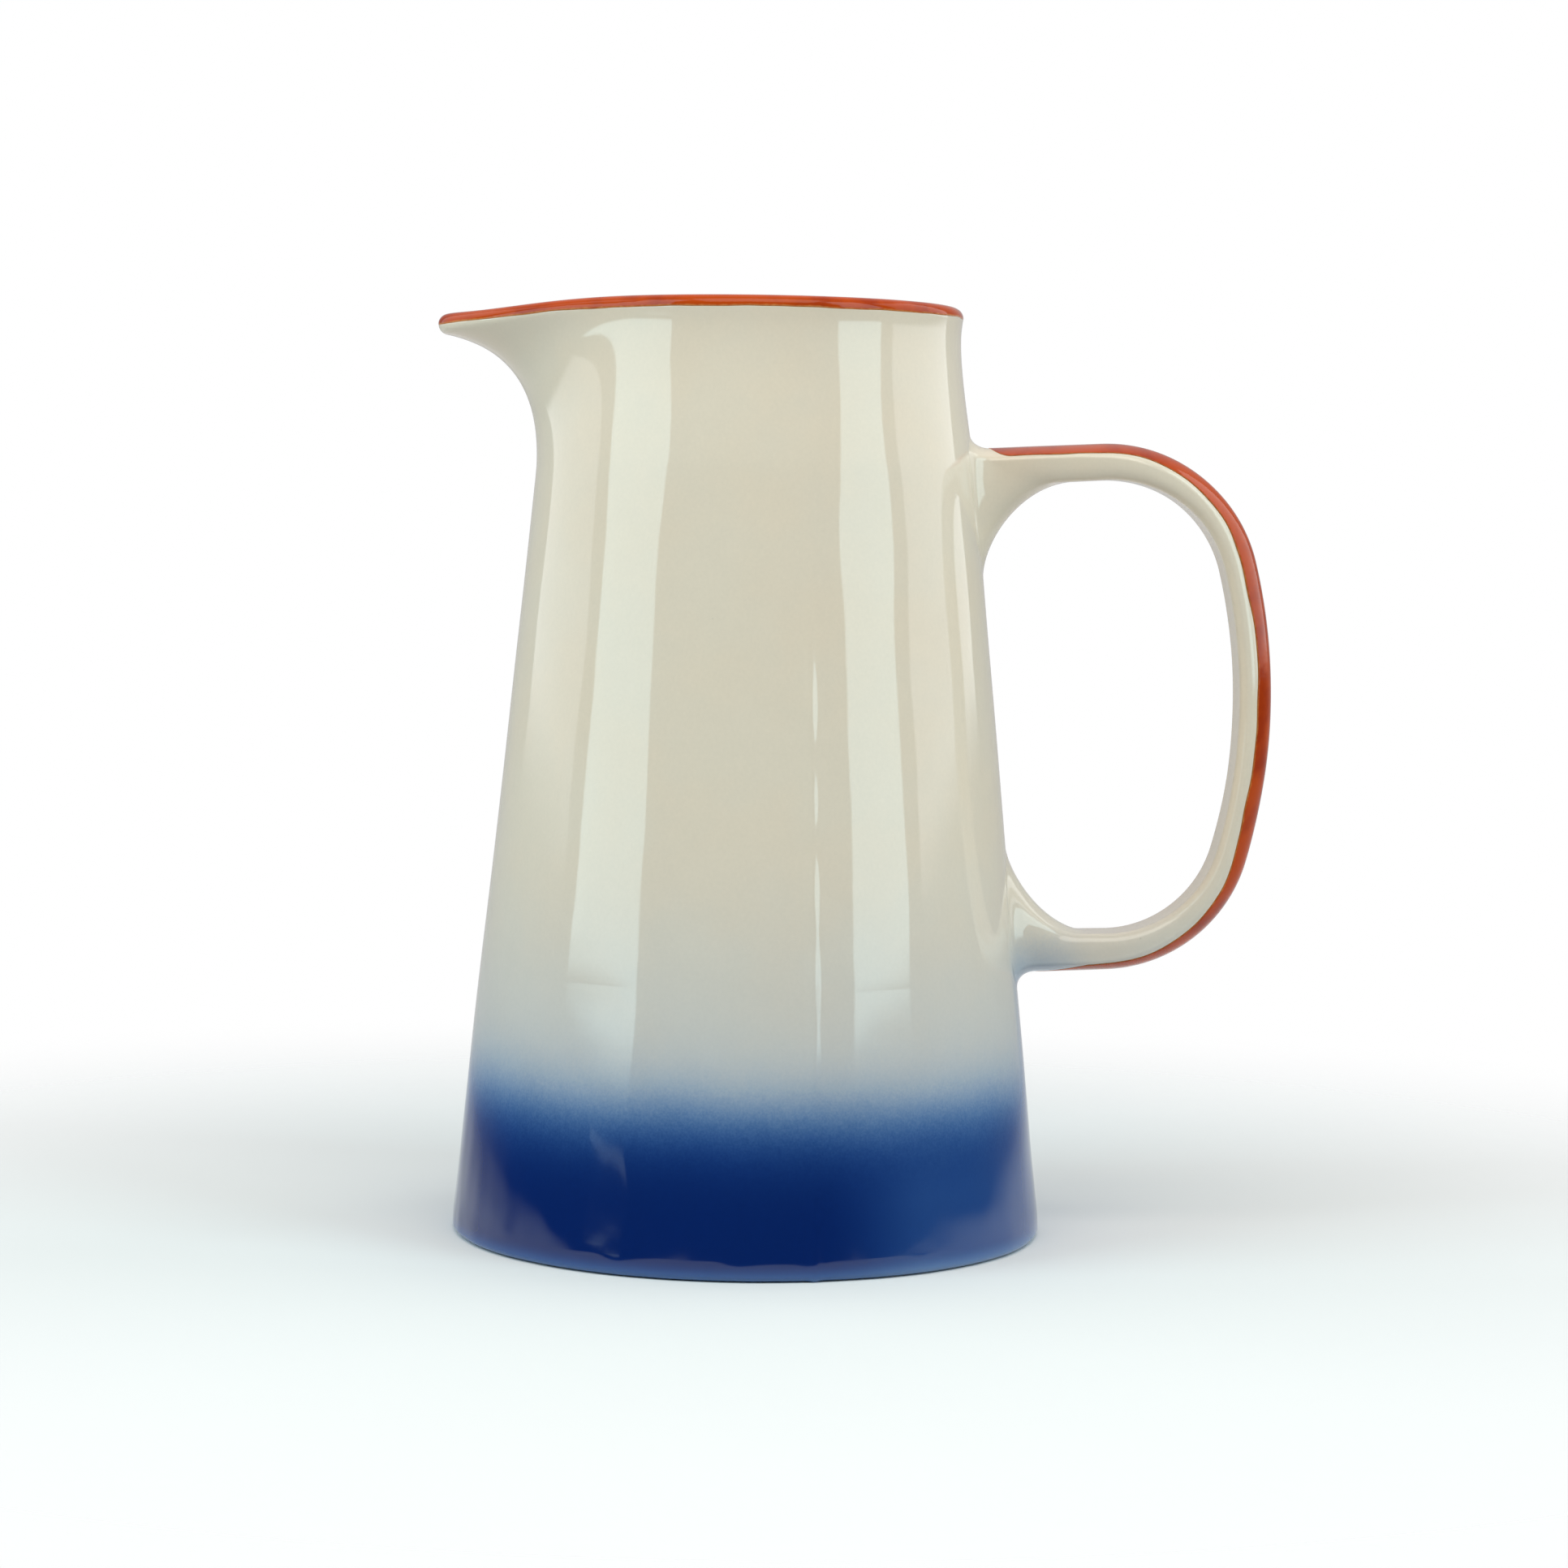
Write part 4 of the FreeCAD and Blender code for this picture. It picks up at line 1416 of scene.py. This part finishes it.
    def on_wall(self, end: LutedEnd, across: Array, out: Array, grow: float = 1.0,
                sink: float = 0.0) -> tuple[Array, Array]:
        """Points of the footprint on the wall, grown about its middle and sunk, and their share.

        Args:
            end: the luted end.
            across: distance across the strap.
            out: distance out from the spine.
            grow: scale about the footprint's middle.
            sink: depth below the wall's surface.

        Returns:
            Points, and the outward share of each.
        """
        start = self.limb(end)[0]
        side, offset, share = end.footprint(2 * across / self.width, 2 * out / self.nominal)
        level = start[1] + end.up * offset * grow
        side = side * grow
        radius = self.form.radius_at(pi + np.arcsin(side / start[0]), level) - sink
        x = np.sqrt(radius ** 2 - side ** 2)
        return np.stack(np.broadcast_arrays(x, side, level), axis=-1), share

    def surface(self, along: Array, across: Array, out: Array) -> Array:
        """Point of the strap: on its section across the spine, plus each end's spread.

        Args:
            along: distance along the spine.
            across: distance across the strap.
            out: distance out from the spine, for the nominal thickness.

        Returns:
            Points, with a last axis of 3.
        """
        along, across, out = np.broadcast_arrays(along, across, out)
        out = self.flattened(along, across, out)
        x, z, heading = self.spine(along)
        left = self.length - along
        swell = self.swell.at(across / self.width, along)
        swell = swell * ease(np.minimum(along, left) / self.swell_fade)
        offset = out * self.scale(along) * (1.0 + self.swell_thick * swell)
        points = np.stack([x - offset * np.sin(heading), across * (1.0 + self.swell_wide * swell),
                           z + offset * np.cos(heading)], axis=-1)
        for end, place, distance in ((self.upper, 0.0, along), (self.lower, self.length, left)):
            start, _, outer = self.limb(end)
            offset = out * self.scale(place)
            root = np.stack([start[0] + outer[0] * offset, across, start[1] + outer[1] * offset],
                            axis=-1)
            foot, share = self.on_wall(end, across, out)
            points = points + (foot - root) * end.fade(distance, share)[..., None]
        return points

    def build_strap(self) -> bpy.types.Object:
        """Make the strap with both luted ends and dress it.

        Returns:
            The piece.
        """
        near = self.end_run * np.linspace(0.0, 1.0, self.end_rows) ** 2
        middle = np.linspace(self.end_run, self.length - self.end_run, self.middle_rows)[1:-1]
        along = np.concatenate([near, middle, self.length - near[::-1]])[:, None]
        across, out = self.section.T[:, None]
        rows = [self.surface(along, across, out)]
        poles = []
        for end in (self.upper, self.lower):
            hidden = [self.on_wall(end, across, out, *row)[0] for row in self.hidden_rows]
            poles.append(hidden[1].mean(axis=(0, 1)))
            rows = [*hidden[::-1], *rows] if end is self.upper else [*rows, *hidden]
        piece = Skin(np.concatenate(rows), poles=tuple(poles)).build("strap_handle")
        dress(piece, Glaze("handle_glaze"), Slot.CREAM_GLAZE,
              "handle", "upper_handle_joint", "lower_handle_joint")
        return piece


@dataclass
class PaintedStripe:
    """Stripe of enamel down the strap's crown, with a round brush start and a drawn-out end."""

    strap: StrapHandle
    half_width: float = 8.7
    start: float = 4.0
    stop: float = 4.6
    head: float = 5.0
    tail: float = 13.0
    proud: float = 0.09
    depth: float = 0.15
    rows: int = 331
    columns: int = 27
    edge_power: int = 8
    far_side: float = 37.0
    end_share: float = 0.4
    hand: Waves = Waves(((0.0, 61.0, 0.3, 0.22), (0.0, 29.0, 2.4, 0.14), (0.0, 13.0, 4.0, 0.06)))

    def half(self, along: Array, shift: float) -> Array:
        """Half width along the stripe, on one side: round at the start, pointed at the end.

        Args:
            along: distance along the spine.
            shift: start of the side's own waver.

        Returns:
            The half width.
        """
        head = 1.0 - np.clip((along - self.start) / self.head, 0.0, 1.0)
        tail = np.clip((self.strap.length - self.stop - along) / self.tail, 0.0, 1.0)
        width = self.half_width + self.hand.at(0.0, along + shift)
        return width * np.sqrt(1.0 - head ** 2 + 1e-4) * (tail ** 0.7 + 1e-3)

    def build(self) -> bpy.types.Object:
        """Make the stripe and dress it.

        The stripe is a flat tube: over the crown, 1 - s^n of the paint's thickness proud, n
        the edge power and s from -1 to 1 across, and back under it, let into the strap. Its
        rows lie close together at both ends, by (1 - cos(pi e)) / 2 of an evenly spread e
        that is itself drawn to the ends.

        Returns:
            The piece.
        """
        stop = self.strap.length - self.stop
        even = np.linspace(0.0, 1.0, self.rows)[:, None]
        drawn = mix(0.5 - 0.5 * np.cos(pi * even), even, 0.7)
        along = mix(self.start, stop, 0.5 - 0.5 * np.cos(pi * drawn))
        share = np.linspace(-1.0, 1.0, self.columns)
        share = np.concatenate([share, share[-2:0:-1]])[None]
        thick = np.where(np.arange(share.size) < self.columns, self.proud, -self.depth)[None]
        reach = np.where(share < 0, self.half(along, 0.0), self.half(along, self.far_side))
        across = reach * share
        out = self.strap.crown_at(across) + thick * (1.0 - share ** self.edge_power)
        points = self.strap.surface(along, across, out)
        ends = np.minimum(along - self.start, (stop - along) * self.end_share)
        from_edge = np.minimum(reach - np.abs(across), ends)
        poles = (points[0].mean(axis=0), points[-1].mean(axis=0))
        piece = Skin(points, poles=poles, values={"edge_mm": from_edge}).build("painted_stripe")
        dress(piece, Enamel("orange_enamel_stripe"), Slot.ORANGE_ENAMEL, "handle_stripe")
        return piece


# ---------------------------------------------------------------------------- the studio

@dataclass(frozen=True)
class Softbox:
    """Lamp that faces the jug, placed by its edges as the jug's middle sees them.

    Azimuth 0 is in front, -Y, and rises to the right. The strength is the light's own
    brightness as a share of white. An upright lamp stands vertically and fades in from its
    lower edge over soft_foot degrees; any other is tilted to face the jug.
    """

    name: str
    azimuths: Span
    elevations: Span
    distance: float
    colour: Triple
    strength: float
    upright: bool = False
    soft_foot: float = 0.0

    def build(self, target: Vector) -> None:
        """Make the lamp round a point.

        Args:
            target: the point that the lamp faces, in metres.
        """
        low, high = (radians(value) for value in self.elevations)
        left, right = (radians(value) for value in self.azimuths)
        around, up = (left + right) / 2, (low + high) / 2
        rise, tall = 0.0, 2 * self.distance * tan((high - low) / 2)
        if self.upright:
            foot, head = self.distance * tan(low), self.distance * tan(high)
            up, rise, tall = 0.0, (foot + head) / 2, head - foot
        width = 2 * self.distance * cos(up) * tan((right - left) / 2)
        away = Vector((sin(around) * cos(up), -cos(around) * cos(up), sin(up)))
        lamp = bpy.data.lights.new(self.name, "AREA")
        lamp.shape, lamp.size, lamp.size_y = "RECTANGLE", width, tall
        lamp.energy = self.strength * pi * width * tall
        lamp.color = self.colour
        if self.soft_foot:
            bench = Bench(lamp)
            spot = bench.add("ShaderNodeNewGeometry", {}, {}, output="Parametric")
            fade = self.distance * (tan(radians(self.soft_foot) + low) - tan(low)) / tall
            strength = bench.parts(spot)[1].between(0.0, fade)
            glow = bench.add("ShaderNodeEmission", {}, {"Strength": strength})
            bench.node("ShaderNodeOutputLight", {}, {"Surface": glow})
        holder = bpy.data.objects.new(self.name, lamp)
        holder.visible_camera = False
        aim = (-away).to_track_quat("-Z", "Y").to_matrix().to_4x4()
        place = target + away * self.distance + Vector((0.0, 0.0, rise))
        holder.matrix_world = Matrix.Translation(place) @ aim
        bpy.context.scene.collection.objects.link(holder)


@dataclass(frozen=True)
class Studio:
    """Pale floor, white surround with a dark front, two strip lamps and a high fill."""

    camera_place: Triple = (0.0, -0.9521, 0.1752)
    camera_aim: Triple = (0.00818, 0.0, 0.11167)
    camera_roll: float = 0.01407
    lens: float = 87.75
    sensor: float = 36.0
    floor_radius: float = 2.0
    floor_sides: int = 96
    floor_fade: Span = (0.12, 0.42)
    floor_tones: tuple[Colour, Colour] = (rgb(0.78, 0.785, 0.78), rgb(0.81, 0.81, 0.81))
    floor_cloud: Span = (300.0, 2.0)
    cool: Triple = (0.70, 0.95, 1.0)
    warm: Triple = (1.0, 0.94, 0.86)
    plain: Triple = (0.95, 0.97, 0.97)
    front: float = 0.015
    side_turns: Span = (96.0, 188.0)
    side_white: float = 0.55
    above_rises: Span = (0.35, 0.75)
    above_white: float = 0.3
    below_rises: Span = (-0.3, -0.03)
    below_white: float = 0.32

    def camera(self) -> None:
        """Level camera in front of the jug, a little above its middle."""
        data = bpy.data.cameras.new("camera")
        data.lens, data.sensor_width = self.lens, self.sensor
        holder = bpy.data.objects.new("camera", data)
        place = Vector(self.camera_place)
        aim = (Vector(self.camera_aim) - place).to_track_quat("-Z", "Y").to_matrix().to_4x4()
        roll = Matrix.Rotation(self.camera_roll, 4, "Z")
        holder.matrix_world = Matrix.Translation(place) @ aim @ roll
        bpy.context.scene.collection.objects.link(holder)
        bpy.context.scene.camera = holder

    def floor(self) -> None:
        """Round pale floor."""
        angle = np.linspace(0.0, 2 * pi, self.floor_sides, endpoint=False)
        rim = round_the_axis(np.array(self.floor_radius), angle + pi, np.array(0.0))
        mesh = bpy.data.meshes.new("floor")
        mesh.from_pydata(rim.tolist(), [], [list(range(len(angle)))])
        holder = bpy.data.objects.new("floor", mesh)
        bpy.context.scene.collection.objects.link(holder)
        material = bpy.data.materials.new("floor_paper")
        bench = Bench(material)
        tone = bench.blend(*self.floor_tones, bench.noise(*self.floor_cloud))
        paper = bench.add("ShaderNodeBsdfPrincipled", {}, {
            "Base Color": tone, "Roughness": 0.9, "IOR": 1.3})
        away = bench.add("ShaderNodeVectorMath", {"operation": "LENGTH"}, {0: bench.place()},
                         output="Value")
        clear = bench.add("ShaderNodeBsdfTransparent", {}, {})
        faded = bench.add("ShaderNodeMixShader", {}, {
            0: away.between(*self.floor_fade), 1: paper, 2: clear})
        bench.node("ShaderNodeOutputMaterial", {}, {"Surface": faded})
        mesh.materials.append(material)

    def surround(self) -> None:
        """White surround: bright to the sides, behind, above and below, dark in front.

        The camera itself sees plain white.
        """
        world = bpy.data.worlds.new("studio")
        bpy.context.scene.world = world
        bench = Bench(world)
        heading = bench.add("ShaderNodeTexCoord", {}, {}, output="Generated")
        x, y, z = bench.parts(heading)
        turned = x.angle_from(y * -1.0).size()
        sides = turned.between(*(radians(turn) for turn in self.side_turns)) * self.side_white
        above = z.between(*self.above_rises) * self.above_white
        below = (1.0 - z.between(*self.below_rises)) * self.below_white
        white = self.front + sides + above + below
        seen = bench.add("ShaderNodeLightPath", {}, {}, output="Is Camera Ray")
        shade = bench.add("ShaderNodeBackground", {}, {
            "Color": rgb(1.0, 1.0, 1.0), "Strength": white + seen * (1.0 - white)})
        bench.node("ShaderNodeOutputWorld", {}, {"Surface": shade})

    def build(self, middle: Vector) -> None:
        """Set the whole studio round the jug's middle.

        Args:
            middle: the point that the lamps face, in metres.
        """
        self.camera()
        self.floor()
        self.surround()
        strips = {"elevations": (0.9, 52.0), "distance": 1.3, "colour": self.cool, "strength": 3.6,
                  "upright": True, "soft_foot": 2.6}
        sides = {"elevations": (3.0, 50.0), "distance": 1.2, "colour": self.plain,
                 "upright": True, "soft_foot": 4.0}
        for lamp in (
            Softbox("left_strip", (-80.0, -47.5), **strips),
            Softbox("right_strip", (44.5, 71.6), **strips),
            Softbox("left_side", (-130.0, -88.0), strength=1.25, **sides),
            Softbox("right_side", (80.0, 130.0), strength=1.58, **sides),
            Softbox("high_fill", (-38.0, 38.0), (42.0, 74.0), 0.8, self.warm, 2.9),
            Softbox("low_window", (-64.0, -48.0), (-1.4, -0.6), 1.3, self.cool, 1.0),
        ):
            lamp.build(middle)
        bpy.context.scene.view_settings.view_transform = "Standard"


# ---------------------------------------------------------------------------- everything

def main() -> None:
    """Build every piece and the studio."""
    logging.basicConfig(level=logging.INFO, format="%(name)s: %(message)s")
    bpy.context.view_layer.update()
    rim = [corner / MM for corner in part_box("rim_band")]
    coat = [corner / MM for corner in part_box("base_coat")]
    form = JugForm(
        height=rim[1].z,
        shoulder_level=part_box("spout")[0].z / MM,
        tip_radius=-rim[0].x,
        coat_level=coat[1].z,
        ring_radius=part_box("foot_ring")[1].x / MM,
    )
    foot_level = coat[0].z - COAT_REACH
    stripe_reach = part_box("handle_stripe")[1].x / MM
    handle = StrapHandle(form, reach=stripe_reach - STRIPE_RISE - StrapHandle.nominal / 2)
    GlazedWall(form, foot_level=foot_level).build()
    SprayedCoat(form, foot_level=foot_level).build()
    FootRing(form).build()
    PaintedRim(form).build()
    handle.build_strap()
    PaintedStripe(handle).build()
    Studio().build(Vector(MIDDLE))


if __name__ == "__main__":
    main()
